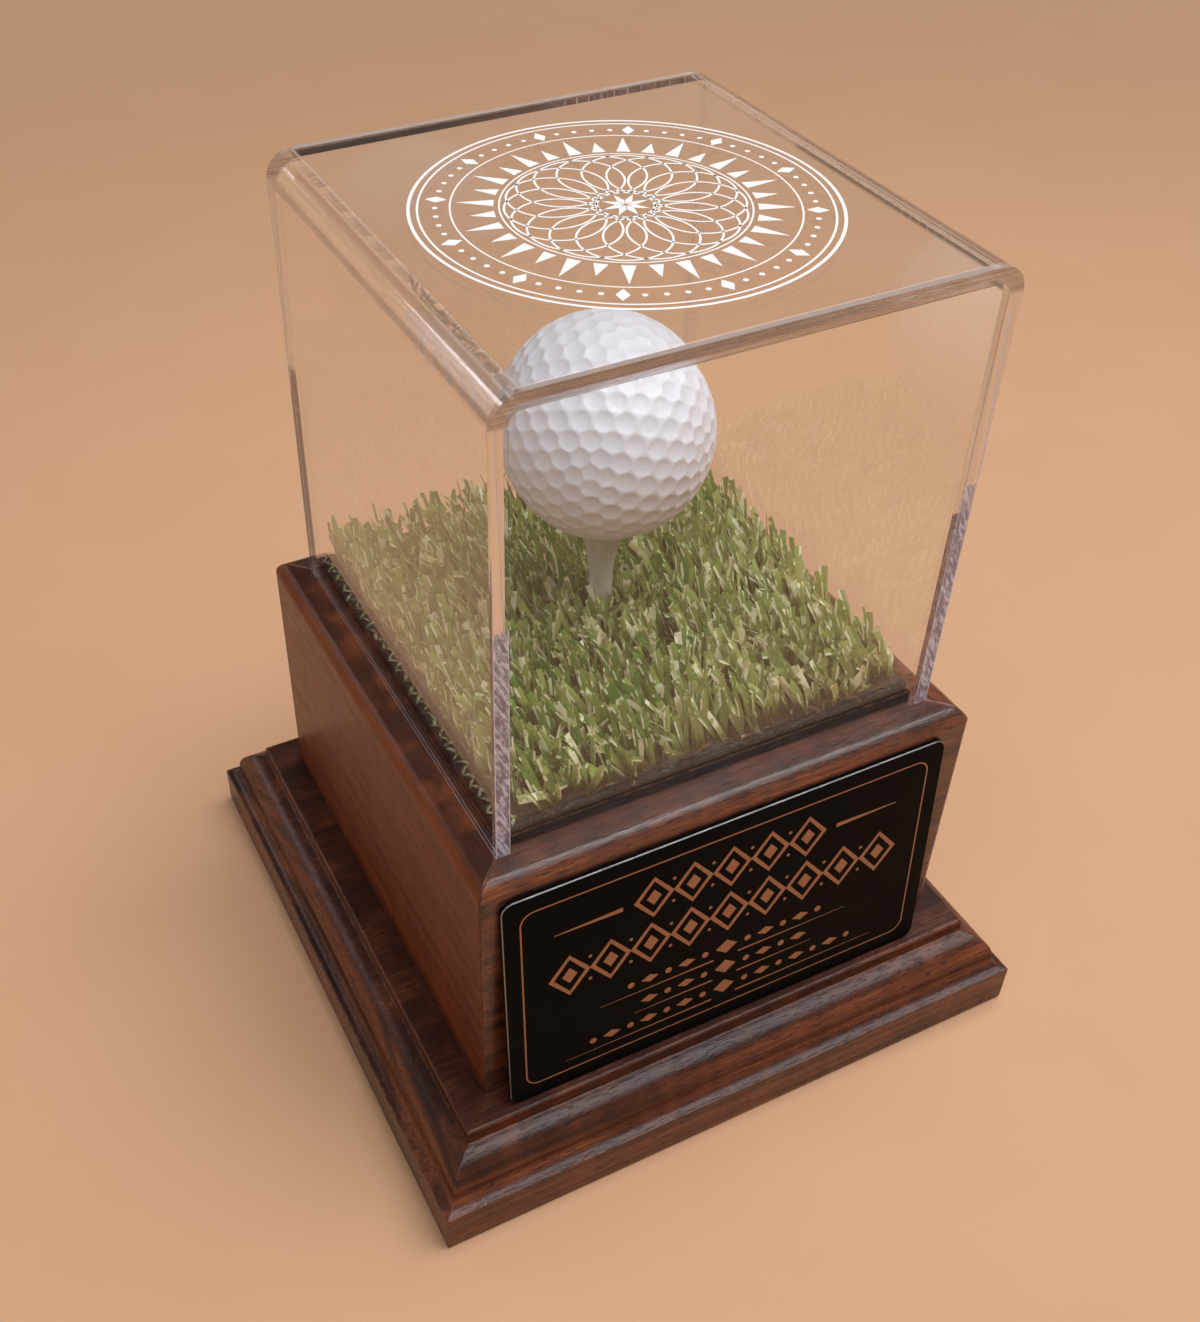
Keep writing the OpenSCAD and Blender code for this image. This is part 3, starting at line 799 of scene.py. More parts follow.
def grass_material():
    """Slit green film, coloured by each point's reach, tone and side."""
    material, tree, place = new_material("turf_ribbon")
    reach, tone, side = (node(tree, "ShaderNodeAttribute", attribute_name=name).outputs["Fac"]
                         for name in ("reach", "tone", "side"))
    green = mix_colour(tree, remap(tree, tone, 0.0, 0.45), GREENS[0], GREENS[1])
    green = mix_colour(tree, remap(tree, tone, 0.45, 0.85), green, GREENS[2])
    green = mix_colour(tree, remap(tree, tone, 0.93, 0.94), green, STRAW)
    across = node(tree, "ShaderNodeSeparateXYZ", {"Vector": place}).outputs["X"]
    # the warm patches grow towards the right: random patches with painted light from that side
    patch_and_painted_light = math_node(tree, "MULTIPLY_ADD", across, 0.005, noise(tree, place, 0.045, 2.0))
    green = mix_colour(tree, times(tree, remap(tree, patch_and_painted_light, 0.40, 0.66), 0.45), green, WARM_PATCH_AND_LIGHT)
    # darker brown towards the root
    green = mix_colour(tree, times(tree, remap(tree, reach, 0.46, 0.06), 0.75), green, ROOT_BROWN)
    # gleams: thin along one edge of many ribbons, broad across the tips of a few
    lengths = noise(tree, stretch(tree, place, 0.5, 0.5, 0.28), 1.0, 1.0)
    dashes = remap(tree, lengths, 0.47, 0.50)
    thin = times(tree, remap(tree, side, 0.20, 0.50), dashes)
    broad = times(tree, remap(tree, tone, 0.85, 0.86), dashes)
    gleam = times(tree, most(tree, thin, broad), remap(tree, reach, 0.30, 0.50), 0.95)
    green = mix_colour(tree, gleam, green, GLEAM)
    colour = mix_colour(tree, remap(tree, tone, -0.1, -0.5), green, THATCH_BROWN)
    ribs = noise(tree, stretch(tree, place, 3.0, 3.0, 0.5), 1.0, 2.0)
    shader = node(tree, "ShaderNodeBsdfPrincipled", {
        "Base Color": colour, "Roughness": remap(tree, ribs, 0.3, 0.7, 0.20, 0.34), "IOR": 1.52,
        "Coat Weight": 1.0, "Coat Roughness": 0.16, "Normal": bump(tree, ribs, 0.03)})
    through = node(tree, "ShaderNodeBsdfTranslucent", {"Color": colour})
    film = node(tree, "ShaderNodeMixShader", {0: 0.3, 1: shader.outputs[0], 2: through.outputs[0]})
    finish_material(tree, film.outputs[0])
    return material


def point_values(piece, name, values):
    """Keeps one number for each point of a mesh under a name."""
    attribute = piece.data.attributes.new(name, "FLOAT", "POINT")
    attribute.data.foreach_set("value", values)


turf = new_piece("turf_blades", blade_points, blade_faces, [grass_material()], "base", "grass")
point_values(turf, "reach", blade_reach)
point_values(turf, "tone", blade_tone)
point_values(turf, "side", blade_side)
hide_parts("turf_pile")

# %% [markdown]
# Along the left edge a narrow strip of the mat was left without pile. The stitches of its first row show
# there as a zigzag of small flat loops on the black weave. Each loop is a bent strip of eight faces, turned
# one way and then the other.

# %% Stitch loops
def stitch_loops():
    """Small arches of ribbon along the bare strip."""
    rng = random.Random(23)
    points, faces = [], []
    count = round((mat_high.y - mat_low.y) / LOOP_GAP)
    middle_x = (mat_low.x + pile_low.x) / 2 - 0.4 * MM
    for k in range(count):
        y = mat_low.y + (k + 0.5 + rng.uniform(-0.15, 0.15)) * (mat_high.y - mat_low.y) / count
        x = middle_x + rng.uniform(-0.3, 0.3) * MM
        turn = (0.75 if k % 2 else -0.75) + rng.gauss(0, 0.25)
        long, tall, wide = (rng.uniform(*span) * MM for span in ((1.15, 1.5), (0.5, 0.9), (0.26, 0.42)))
        first = len(points)
        for step in range(9):
            angle = math.pi * step / 8
            for side in (-wide, wide):
                ahead, over = long * math.cos(angle), side * (0.6 + 0.4 * math.sin(angle))
                points.append((x + over * math.cos(turn) - ahead * math.sin(turn),
                               y + over * math.sin(turn) + ahead * math.cos(turn),
                               FOOT_Z + 0.1 * MM + tall * math.sin(angle)))
        for step in range(8):
            a = first + 2 * step
            faces.append([a, a + 1, a + 3, a + 2])
    return points, faces


def loop_material():
    """Dull green film, dusty in places."""
    material, tree, place = new_material("stitch_ribbon")
    shade = noise(tree, place, 0.9, 2.0)
    colour = mix_colour(tree, remap(tree, shade, 0.4, 0.62), rgb(0.08, 0.12, 0.045), rgb(0.36, 0.34, 0.20))
    shader = node(tree, "ShaderNodeBsdfPrincipled", {
        "Base Color": colour, "Roughness": remap(tree, shade, 0.3, 0.7, 0.3, 0.45),
        "Normal": bump(tree, shade, 0.03)})
    finish_material(tree, shader.outputs[0])
    return material


new_piece("stitch_loops", *stitch_loops(), [loop_material()], "base", "grass")

# %% [markdown]
# All round the cut edges of the mat, black threads have come loose. They are made like the ribbons, only
# much thinner and nearly level.

# %% Loose threads
THREAD_COUNT = 420


def loose_threads():
    """Thin black fibres lying along the cut edges of the mat."""
    rng = random.Random(31)
    into = ([], [], [], [], [])
    for _ in range(THREAD_COUNT):
        along = rng.uniform(-0.97, 0.97)
        edge = rng.choice((0, 1, 2, 2, 3))
        x = (mat_low.x, mat_high.x)[edge % 2] if edge < 2 else along * mat_high.x
        y = (mat_low.y, mat_high.y)[edge % 2] if edge > 1 else along * mat_high.y
        heading = (math.pi / 2 if edge < 2 else 0.0) + rng.choice((0, math.pi)) + rng.gauss(0, 0.35)
        root = (x * 0.988, y * 0.988, FOOT_Z + rng.uniform(0.1, 0.5) * MM)
        ribbon(rng, root, heading, rng.uniform(1.2, 1.7), rng.uniform(-0.3, 0.5), rng.uniform(1.5, 5.0) * MM,
               rng.uniform(0.15, 0.4) * MM, rng.uniform(-0.4, 0.4), 0.5, into, -WALL_X)
    return into[0], into[1]


new_piece("mat_threads", *loose_threads(), [plain_material(
    "loose_thread", rgb(0.012, 0.010, 0.010), rgb(0.055, 0.05, 0.045), 0.4, 0.5, 0.02)], "base", "backing")

# %% [markdown]
# ## Clear cover
# The cover is polished acrylic. Light enters and leaves it twice at every wall, so its edges pipe light and
# gleam while its faces almost vanish. A glass-like shader does this by itself. Lamps have to reach the ball
# through it, so for shadow and scattered rays the shader steps aside for a nearly clear one, and so it does
# on the foot, which stands on the wood. Light that is caught in the sheet bounces many times before it comes
# out, so the renderer has to be told to follow it that far.

# %% Bounces and places of the cover
LIGHT_BOUNCES = 28                    # a sheet pipes light along itself by bouncing it from face to face
scene.cycles.max_bounces = LIGHT_BOUNCES
scene.cycles.glossy_bounces = LIGHT_BOUNCES
scene.cycles.transmission_bounces = LIGHT_BOUNCES
scene.cycles.transparent_max_bounces = 2 * LIGHT_BOUNCES

BEND_R = 2.5                          # inside radius of the two bends
WELD_Y = -panel_high.y / MM           # the panels reach from here to the cut edges of the sheet
SIDE_X = cover_high.x / MM
INSIDE_X = SIDE_X - SHEET_T / MM + 0.03
INSIDE_Z = cover_high.z / MM - SHEET_T / MM + 0.03
BEND_X, BEND_Z = INSIDE_X - BEND_R, INSIDE_Z - BEND_R
POLISHED_Z = 140.5                    # below this height the cut edges keep their saw marks
print("sheet is %.1f mm thick, its walls are at %.1f mm" % (SHEET_T / MM, SIDE_X))

# %% [markdown]
# Clear plastic shows its making only in thin places: saw marks on the lower part of the front cut edges,
# polishing lines along the others, and bright lines where an arris or a bend catches the light. Modelling
# them would take a great many faces, so a second, duller shader is mixed in there. The bright lines are
# painted highlights in its colour, and the top's cut edge carries a painted reflection of the warm floor.
# Masks made from each point's place and from the way its face points say where.

# %% Masks of the thin places
ARRIS_OUT, ARRIS_IN = 0.22, 0.18      # widths of the sheet's outer and inner arris
LINE_W = 0.5                          # width of the bright line where a bend starts
# the bends' bright lines are painted highlights; this is their share of the dull shader
CREST_HIGHLIGHT_SHARE = 0.34                     # how dull the bright lines of the bends are
SAW_SLANT = math.radians(24)          # the saw marks lean


def above(tree, value, limit, soft=0.02):
    """1 where value is above limit, else 0."""
    return remap(tree, value, limit - soft, limit + soft)


def below(tree, value, limit, soft=0.02):
    """1 where value is below limit, else 0."""
    return remap(tree, value, limit + soft, limit - soft)


def cover_parts(tree, place, cut_axis):
    """What the masks need: place, distance from the middle, direction of the face, and the cut edges."""
    facing = node(tree, "ShaderNodeSeparateXYZ",
                  {"Vector": node(tree, "ShaderNodeTexCoord").outputs["Normal"]}).outputs
    where = node(tree, "ShaderNodeSeparateXYZ", {"Vector": place}).outputs
    size = {axis: math_node(tree, "ABSOLUTE", where[axis]) for axis in "XY"}
    turned = {axis: math_node(tree, "ABSOLUTE", facing[axis]) for axis in "XYZ"}
    return {"place": place, "where": where, "size": size, "turned": turned,
            "on_edge": remap(tree, turned[cut_axis], 0.9, 0.98),
            "on_top": above(tree, where["Z"], BEND_Z, 0.5),
            "foot": times(tree, above(tree, turned["Z"], 0.9), below(tree, where["Z"], POLISHED_Z))}


def arris_mask(tree, parts):
    """The slightly rounded arrises of the sheet's legs, which show as thin pale lines of painted highlight.
    """
    across = parts["size"]["X"]
    outer = above(tree, across, SIDE_X - ARRIS_OUT, 0.08)
    inner = times(tree, above(tree, across, INSIDE_X - 0.05),
                  below(tree, across, INSIDE_X + ARRIS_IN, 0.08))
    left_foot = times(tree, parts["foot"], below(tree, parts["where"]["X"], 0.0))
    return times(tree, most(tree, outer, inner), most(tree, left_foot, parts["on_edge"]))


def painted_crest_highlight(tree, parts):
    """Painted highlight lines on the bends, where the sheet starts to turn and where it is outermost."""
    across = parts["size"]["X"]
    outermost = above(tree, across, SIDE_X - 0.25, 0.2)
    start = times(tree, above(tree, across, BEND_X, 0.1), below(tree, across, BEND_X + LINE_W, 0.2))
    front = times(tree, above(tree, parts["size"]["Y"], WELD_Y + 1.5, 0.3),
                  above(tree, parts["turned"]["Z"], 0.9))
    return times(tree, most(tree, outermost, start, front), parts["on_top"],
                 below(tree, parts["turned"]["Y"], 0.5))


def haze_and_highlight_mask(tree, parts, saw, arris):
    """How dull each place is, from 0 for polished to 1; painted highlight lines count as dull."""
    place, height, on_top = parts["place"], parts["where"]["Z"], parts["on_top"]
    # polishing lines follow the edge: up the legs and along the top
    legs = noise(tree, stretch(tree, place, 3.4, 3.4, 0.035), 1.0, 2.0)
    along = noise(tree, stretch(tree, place, 0.035, 0.035, 3.4), 1.0, 2.0)
    lines = mix_colour(tree, on_top, legs, along)
    low = remap(tree, height, POLISHED_Z + 0.4, POLISHED_Z - 0.4)
    sawn = times(tree, remap(tree, saw, 0.40, 0.62, 0.64, 0.92), low, below(tree, parts["where"]["Y"], 0.0))
    marks = most(tree, times(tree, remap(tree, lines, 0.58, 0.66), 0.12), sawn,
                 times(tree, on_top, remap(tree, lines, 0.4, 0.6, 0.35, 0.60)))
    # painted highlight along the arrises, stronger below the polished height
    bright = times(tree, arris, remap(tree, height, POLISHED_Z + 0.4, POLISHED_Z - 0.4, 0.12, 0.85))
    return most(tree, times(tree, parts["on_edge"], marks),
                times(tree, painted_crest_highlight(tree, parts), CREST_HIGHLIGHT_SHARE), bright)


print("cut edges are polished above", POLISHED_Z, "mm")

# %% [markdown]
# The material puts the parts together: clear glass-like plastic, the dull shader where the masks say so, and
# the nearly clear one for shadow rays, scattered rays and welded faces. In the bends a share of the light
# goes straight on, because the real sheet thins and softens there and doesn't trap it as a sharp one would.

# %% Acrylic
BEND_CLEAR = 0.6                      # share of the light that goes straight on in the bends


def dull_and_painted_light_colour(tree, parts, saw, arris):
    """What shows where the surface is dull: sawn, arris, top, and the top's cut edge."""
    bare = mix_colour(tree, remap(tree, saw, 0.42, 0.66), rgb(0.30, 0.27, 0.35), rgb(0.76, 0.72, 0.80))
    # painted highlight: thin pale lines on the arrises
    bare = mix_colour(tree, arris, bare, rgb(0.80, 0.75, 0.82))
    # painted highlight: warm pale lines on the bends
    bare = mix_colour(tree, parts["on_top"], bare, rgb(0.72, 0.62, 0.56))
    # painted reflection: the top's cut edge takes the warm floor's colour, darkened
    return mix_colour(tree, times(tree, parts["on_top"], parts["on_edge"]), bare, rgb(0.30, 0.165, 0.105))


def acrylic_material(name, cut_axis, weld_mask):
    """Clear acrylic; faces square to cut_axis are sawn, and weld_mask(tree, parts) marks the welded faces."""
    material, tree, place = new_material(name)
    parts = cover_parts(tree, place, cut_axis)
    arris = arris_mask(tree, parts)
    slant = node(tree, "ShaderNodeMapping", {
        "Vector": place, "Rotation": (0, SAW_SLANT, 0)}).outputs[0]
    saw = noise(tree, stretch(tree, slant, 1.9, 1.9, 0.45), 1.0, 3.0, 0.6)
    frost = times(tree, parts["on_edge"], remap(tree, parts["on_top"], 0.0, 1.0, 0.02, 0.22))
    glass = node(tree, "ShaderNodeBsdfPrincipled", {
        "Base Color": rgb(0.99, 0.99, 0.99), "Roughness": frost, "IOR": 1.49, "Transmission Weight": 1.0})
    dull = node(tree, "ShaderNodeBsdfPrincipled", {
        "Base Color": dull_and_painted_light_colour(tree, parts, saw, arris),
        "Roughness": remap(tree, saw, 0.3, 0.7, 0.35, 0.55)})
    edged = node(tree, "ShaderNodeMixShader", {
        0: haze_and_highlight_mask(tree, parts, saw, arris), 1: glass.outputs[0], 2: dull.outputs[0]})
    clear = node(tree, "ShaderNodeBsdfTransparent", {"Color": rgb(0.965, 0.965, 0.965)})
    path = node(tree, "ShaderNodeLightPath").outputs
    resting = math_node(tree, "SUBTRACT", parts["foot"], arris, clamp=True)
    on_bend = times(tree, parts["on_top"], above(tree, parts["size"]["X"], BEND_X, 0.5),
                    below(tree, parts["turned"]["Y"], 0.5), BEND_CLEAR)
    aside = most(tree, path["Is Shadow Ray"], path["Is Diffuse Ray"], resting,
                 weld_mask(tree, parts), on_bend)
    both = node(tree, "ShaderNodeMixShader", {0: aside, 1: edged.outputs[0], 2: clear.outputs[0]})
    finish_material(tree, both.outputs[0])
    return material


print("the bends let", BEND_CLEAR, "of the light straight through")

# %% [markdown]
# A solvent weld melts two faces into one, so light passes from the panel into the sheet as if there were no
# face at all. The faces that meet there are therefore marked by their place, and stay perfectly clear.

# %% Where the panels are welded to the sheet
def sheet_weld(tree, parts):
    """Inner faces of the bent sheet beside the panels' edges, up to where the panels' corners turn away."""
    across, height = parts["size"]["X"], parts["where"]["Z"]
    inside = times(tree, below(tree, across, INSIDE_X), below(tree, height, INSIDE_Z))
    open_corner = times(tree, above(tree, across, BEND_X), above(tree, height, BEND_Z))
    inside = math_node(tree, "SUBTRACT", inside, open_corner, clamp=True)
    return times(tree, inside, above(tree, parts["size"]["Y"], WELD_Y + 0.03))


def panel_weld(tree, parts):
    """The panels' ends and top, rounded corners included."""
    return below(tree, parts["turned"]["Y"], 0.5)


dress(acrylic_material("acrylic_sheet", "Y", sheet_weld), "cover_sheet")
dress(acrylic_material("acrylic_panel", "X", panel_weld), "cover_front_panel", "cover_rear_panel")

# %% [markdown]
# ## Etched rosette
# The top of the cover carries a white etched roundel. Here it is a rosette of interlaced circles inside two
# rings, a pattern that engravers have always used. A texture of such fine lines would blur, so each line is
# a thin raised ribbon. The drawing is made flat first, from strokes and filled patches.

# %% Draw with strokes
def stroke(points, faces, path, width, closed=False):
    """Adds a flat ribbon along a path of 2-D points."""
    count = len(path)
    first = len(points)
    for k, (x, y) in enumerate(path):
        before = path[k - 1] if closed or k > 0 else path[k]
        after = path[(k + 1) % count] if closed or k < count - 1 else path[k]
        dx, dy = after[0] - before[0], after[1] - before[1]
        size = math.hypot(dx, dy) or 1.0
        half = (width[k] if isinstance(width, list) else width) / 2
        points.append((x - dy / size * half, y + dx / size * half))
        points.append((x + dy / size * half, y - dx / size * half))
    for k in range(count if closed else count - 1):
        a, b = first + 2 * k, first + 2 * ((k + 1) % count)
        faces.append([a, a + 1, b + 1, b])


def patch(points, faces, outline):
    """Adds a filled outline of 2-D points, counter-clockwise."""
    first = len(points)
    points.extend(outline)
    faces.append(list(range(first, first + len(outline))))


def circle(radius, middle=(0.0, 0.0), steps=48, start=0.0):
    """Points round a circle."""
    return [(middle[0] + radius * math.cos(start + 2 * math.pi * k / steps),
             middle[1] + radius * math.sin(start + 2 * math.pi * k / steps)) for k in range(steps)]


def diamond(middle, along, across, turn=0.0):
    """Four corners of a diamond about middle."""
    corners = [(along, 0), (0, across), (-along, 0), (0, -across)]
    c, s = math.cos(turn), math.sin(turn)
    return [(middle[0] + x * c - y * s, middle[1] + x * s + y * c) for x, y in corners]


def polar(radius, angle):
    """A point at an angle on a circle."""
    return (radius * math.cos(angle), radius * math.sin(angle))


def spokes(count, offset=0.0):
    """Evenly spread angles, each with its number."""
    return [(k, 2 * math.pi * (k + offset) / count) for k in range(count)]


print("a circle of 48 steps strays %.2f %% from round" % (100 * (1 - math.cos(math.pi / 48))))

# %% [markdown]
# From the outside in: two rings, a band of dots and diamonds, a ring, a crown of rays, a ring, the lace of
# eighteen overlapping circles, and a small star in the middle.

# %% Rosette in millimetres
RINGS = ((38.05, 0.6), (36.5, 0.4), (30.8, 0.32), (22.2, 0.32))  # radius of each ring and width of its line
BAND_R = 33.4                         # dots and diamonds stand on this circle
CROWN_R = 23.2                        # the rays stand on this one
LACE_R, LACE_OUT = 8.2, 13.2          # the circles of the lace, and how far out their middles are


def rosette():
    """The flat drawing about its own middle."""
    points, faces = [], []
    for radius, width in RINGS:
        stroke(points, faces, circle(radius, steps=180), width, closed=True)
    for k, angle in spokes(60):
        if k % 5:
            patch(points, faces, circle(0.5, polar(BAND_R, angle), 12))
        else:
            patch(points, faces, diamond(polar(BAND_R, angle), 2.0, 1.2, angle))
    for k, angle in spokes(32, 0.5):
        tip = 29.8 if k % 2 else 27.6
        patch(points, faces, [polar(CROWN_R, angle - 0.055), polar(tip, angle),
                              polar(CROWN_R, angle + 0.055)])
    for _, angle in spokes(18):
        stroke(points, faces, circle(LACE_R, polar(LACE_OUT, angle), 60), 0.4, closed=True)
    for _, angle in spokes(8):
        patch(points, faces, [polar(0.3, angle), polar(1.9, angle - 0.36), polar(4.5, angle),
                              polar(1.9, angle + 0.36)])
    return points, faces


def etched_material():
    """Fine white frosting."""
    material, tree, place = new_material("etched_white")
    frost = noise(tree, place, 3.5, 4.0)
    colour = mix_colour(tree, remap(tree, frost, 0.3, 0.7), rgb(0.67, 0.66, 0.645), rgb(0.74, 0.73, 0.72))
    shader = node(tree, "ShaderNodeBsdfPrincipled", {
        "Base Color": colour, "Roughness": remap(tree, frost, 0.3, 0.7, 0.6, 0.8),
        "Normal": bump(tree, frost, 0.02)})
    finish_material(tree, shader.outputs[0])
    return material


etched_points, etched_faces = rosette()
print("rosette has", len(etched_faces), "flat pieces")

# %% [markdown]
# A flat drawing has no thickness, and a renderer may then mix it up with the face below it. So each drawing
# becomes a very thin slab, open nowhere, and is laid on its piece by a function that knows where that is.

# %% Raise the drawing
ROSETTE_PLACE = (0.1, -1.1)           # middle of the rosette on the cover
ROSETTE_RISE = 0.02 * MM              # thickness of the etched film


def raised(points, faces, place_point, thickness):
    """Closes flat shapes into thin slabs; place_point(x, y, height) gives a point in metres."""
    count = len(points)
    solid = [place_point(x, y, h) for h in (thickness, 0.0) for x, y in points]
    slabs = [list(f) for f in faces] + [[v + count for v in reversed(f)] for f in faces]
    edges = {}
    for f in faces:
        for a, b in zip(f, f[1:] + f[:1]):
            edges[(a, b)] = True
    for a, b in edges:
        if (b, a) not in edges:
            slabs.append([b, a, a + count, b + count])
    return solid, slabs


def on_cover_top(x, y, height):
    """x and y in millimetres from the rosette's middle, height in metres above the cover."""
    return ((ROSETTE_PLACE[0] + x) * MM, (ROSETTE_PLACE[1] + y) * MM, cover_high.z + height)


new_piece("etched_rosette", *raised(etched_points, etched_faces, on_cover_top, ROSETTE_RISE),
          [etched_material()], "cover", "acrylic", smooth=False)

# %% [markdown]
# ## Plaque
# The plaque is brass plate under black lacquer, with its bevel left bright, standing on the ledge and
# leaning back against the box. The plate is modelled again here with a true bevel all round.

# %% The plate
PLAQUE_LEAN = math.radians(4.0)
PLAQUE_T, PLAQUE_BEVEL, PLAQUE_CORNER = 1.0, 0.2, 2.6
plaque_low, plaque_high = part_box("plaque")
PLAQUE_W = (plaque_high.x - plaque_low.x) / MM
PLAQUE_H = 58.8
plaque_foot = Vector(((plaque_low.x + plaque_high.x) / 2,
                      plaque_low.y + PLAQUE_T * MM * math.cos(PLAQUE_LEAN), plaque_low.z))
plaque_up = Vector((0, math.sin(PLAQUE_LEAN), math.cos(PLAQUE_LEAN)))
plaque_out = Vector((0, -math.cos(PLAQUE_LEAN), math.sin(PLAQUE_LEAN)))


def on_plaque(x, y, height):
    """x and y in millimetres from the plate's middle, height in metres above its back."""
    return plaque_foot + Vector((x * MM, 0, 0)) + plaque_up * ((y + PLAQUE_H / 2) * MM) + plaque_out * height


def round_outline(width, height, radius, steps=8):
    """Counter-clockwise outline of a rectangle with round corners."""
    outline = []
    for quarter, (sx, sy) in enumerate(((1, 1), (-1, 1), (-1, -1), (1, -1))):
        for k in range(steps + 1):
            angle = math.pi / 2 * (quarter + k / steps)
            outline.append((sx * (width / 2 - radius) + radius * math.cos(angle),
                            sy * (height / 2 - radius) + radius * math.sin(angle)))
    return outline


def plate_mesh():
    """Rings of the plate from back to front, closed at both ends."""
    rings = [(0.0, 0.0), (0.0, PLAQUE_T - PLAQUE_BEVEL), (PLAQUE_BEVEL, PLAQUE_T)]
    points, faces = [], []
    for inset, height in rings:
        for x, y in round_outline(PLAQUE_W - 2 * inset, PLAQUE_H - 2 * inset, PLAQUE_CORNER - inset):
            points.append(on_plaque(x, y, height * MM))
    count = len(points) // len(rings)
    for level in range(len(rings) - 1):
        for k in range(count):
            a, b = level * count + k, level * count + (k + 1) % count
            faces.append([a, b, b + count, a + count])
    faces.append(list(range((len(rings) - 1) * count, len(rings) * count)))
    faces.append(list(reversed(range(count))))
    return points, faces


print("plaque is %.1f by %.1f mm" % (PLAQUE_W, PLAQUE_H))

# %% [markdown]
# Satin black lacquer is almost free of colour. What tells the eye that it is a surface at all is a little
# dust and a slow change of gloss. The bevel is brushed metal, without lacquer.

# %% Lacquer and metal
def lacquer_material():
    """Black lacquer with a little dust."""
    material, tree, place = new_material("black_lacquer")
    haze = noise(tree, place, 0.12, 4.0)
    dust = remap(tree, noise(tree, place, 6.0, 2.0), 0.68, 0.74)
    colour = mix_colour(tree, times(tree, dust, 0.25), rgb(0.002, 0.002, 0.0022), rgb(0.08, 0.075, 0.07))
    shader = node(tree, "ShaderNodeBsdfPrincipled", {
        "Base Color": colour, "Roughness": remap(tree, haze, 0.35, 0.7, 0.30, 0.40),
        "Specular IOR Level": 0.03, "Normal": bump(tree, haze, 0.05)})
    finish_material(tree, shader.outputs[0])
    return material


def metal_material(name, light, dark, roughness):
    """Metal brushed along X, between two colours."""
    material, tree, place = new_material(name)
    brush = noise(tree, stretch(tree, place, 0.3, 4.0, 4.0), 1.0, 3.0)
    shader = node(tree, "ShaderNodeBsdfPrincipled", {
        "Base Color": mix_colour(tree, remap(tree, brush, 0.3, 0.7), dark, light),
        "Roughness": remap(tree, brush, 0.3, 0.7, roughness - 0.06, roughness + 0.06),
        "Metallic": 1.0, "Normal": bump(tree, brush, 0.01)})
    finish_material(tree, shader.outputs[0])
    return material


silver_edge = metal_material("bright_bevel", rgb(0.34, 0.33, 0.32), rgb(0.20, 0.20, 0.20), 0.4)
plate = new_piece("plaque_plate", *plate_mesh(), [lacquer_material(), silver_edge], "base", "plaque_black",
                  smooth=False)
walls = (len(plate.data.polygons) - 2) // 2
for polygon in plate.data.polygons[walls:2 * walls]:
    polygon.material_index = 1          # the bevel alone is bare metal
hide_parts("plaque")

# %% [markdown]
# The plate is laser marked in copper. The marking is plain ornament: five bands of diamonds, beads and
# tapering rules, set one above another as an engraver would set lines of different weight. It is drawn with
# the same strokes and patches as the rosette, and laid on the leaning face. Rules and chains come first.

# %% Rules and chains
def tapered_rule(points, faces, y, reach, gap, weight):
    """Two rules that thin out away from the middle."""
    for side in (-1, 1):
        path = [(side * (gap + (reach - gap) * k / 12), y) for k in range(13)]
        widths = [weight * (1 - 0.85 * k / 12) for k in range(13)]
        if side < 0:
            path.reverse()
            widths.reverse()
        stroke(points, faces, path, widths)


def chain(points, faces, y, count, pitch, along, across, weight):
    """A row of outlined diamonds with a solid diamond in each and beads between."""
    for k in range(count):
        x = (k - (count - 1) / 2) * pitch
        stroke(points, faces, diamond((x, y), along, across), weight, closed=True)
        patch(points, faces, diamond((x, y), along * 0.42, across * 0.42))
        if k < count - 1:
            for side in (-1, 1):
                patch(points, faces, circle(0.42, (x + pitch / 2, y + side * across * 0.62), 12))


print("rules and chains can be drawn on a plate %.1f mm wide" % PLAQUE_W)

# %% [markdown]
# From the top: a chain between two long rules, a longer chain, and three rows of beads and small diamonds,
# each over a fine rule. A thin frame runs round them all.

# %% Copper ornament
FRAME_W, FRAME_H, FRAME_R, FRAME_LINE = 94, 50.5, 3.0, 0.35
UPPER_Y, MIDDLE_Y = 16.4, 3.6         # heights of the two chains
BEAD_ROWS = ((-7.0, 30.0), (-13.2, 22.0), (-19.4, 38.0))  # height of each row and half its length
BEAD_STEP = 4.4


def ornament():
    """The flat drawing about the plate's middle."""
    points, faces = [], []
    stroke(points, faces, round_outline(FRAME_W, FRAME_H, FRAME_R, 6), FRAME_LINE, closed=True)
    chain(points, faces, UPPER_Y, count=5, pitch=9.0, along=4.0, across=5.0, weight=1.2)
    tapered_rule(points, faces, UPPER_Y, reach=40, gap=25, weight=1.1)
    chain(points, faces, MIDDLE_Y, count=9, pitch=9.2, along=4.1, across=5.2, weight=1.25)
    for y, half in BEAD_ROWS:
        patch(points, faces, diamond((0, y), 2.6, 2.0))
        for side in (-1, 1):
            for step in range(1, int(half / BEAD_STEP)):
                x = side * (step * BEAD_STEP + 0.8)
                shape = circle(0.8, (x, y), 16) if step % 2 else diamond((x, y), 2.1, 1.1)
                patch(points, faces, shape)
        tapered_rule(points, faces, y - 2.9, reach=half, gap=3.0, weight=0.45)
    return points, faces


COPPER_RISE = 0.02 * MM               # thickness of the marking
copper = metal_material("laser_copper", rgb(0.42, 0.235, 0.15), rgb(0.36, 0.20, 0.13), 0.5)
new_piece("plaque_ornament", *raised(
    *ornament(), lambda x, y, h: on_plaque(x, y, PLAQUE_T * MM + h), COPPER_RISE),
    [copper], "base", "plaque_black", smooth=False)

# %% [markdown]
# ## Stage and light
# The case stands on a plain pale floor. Far from the case, where the lamps no longer reach, the floor takes
# the colour of its lit part by itself and then that of the horizon, so no dark band or hard line shows
# behind the case. Only rays that come straight from the camera or through the clear cover see this, so it
# puts no light on the case.

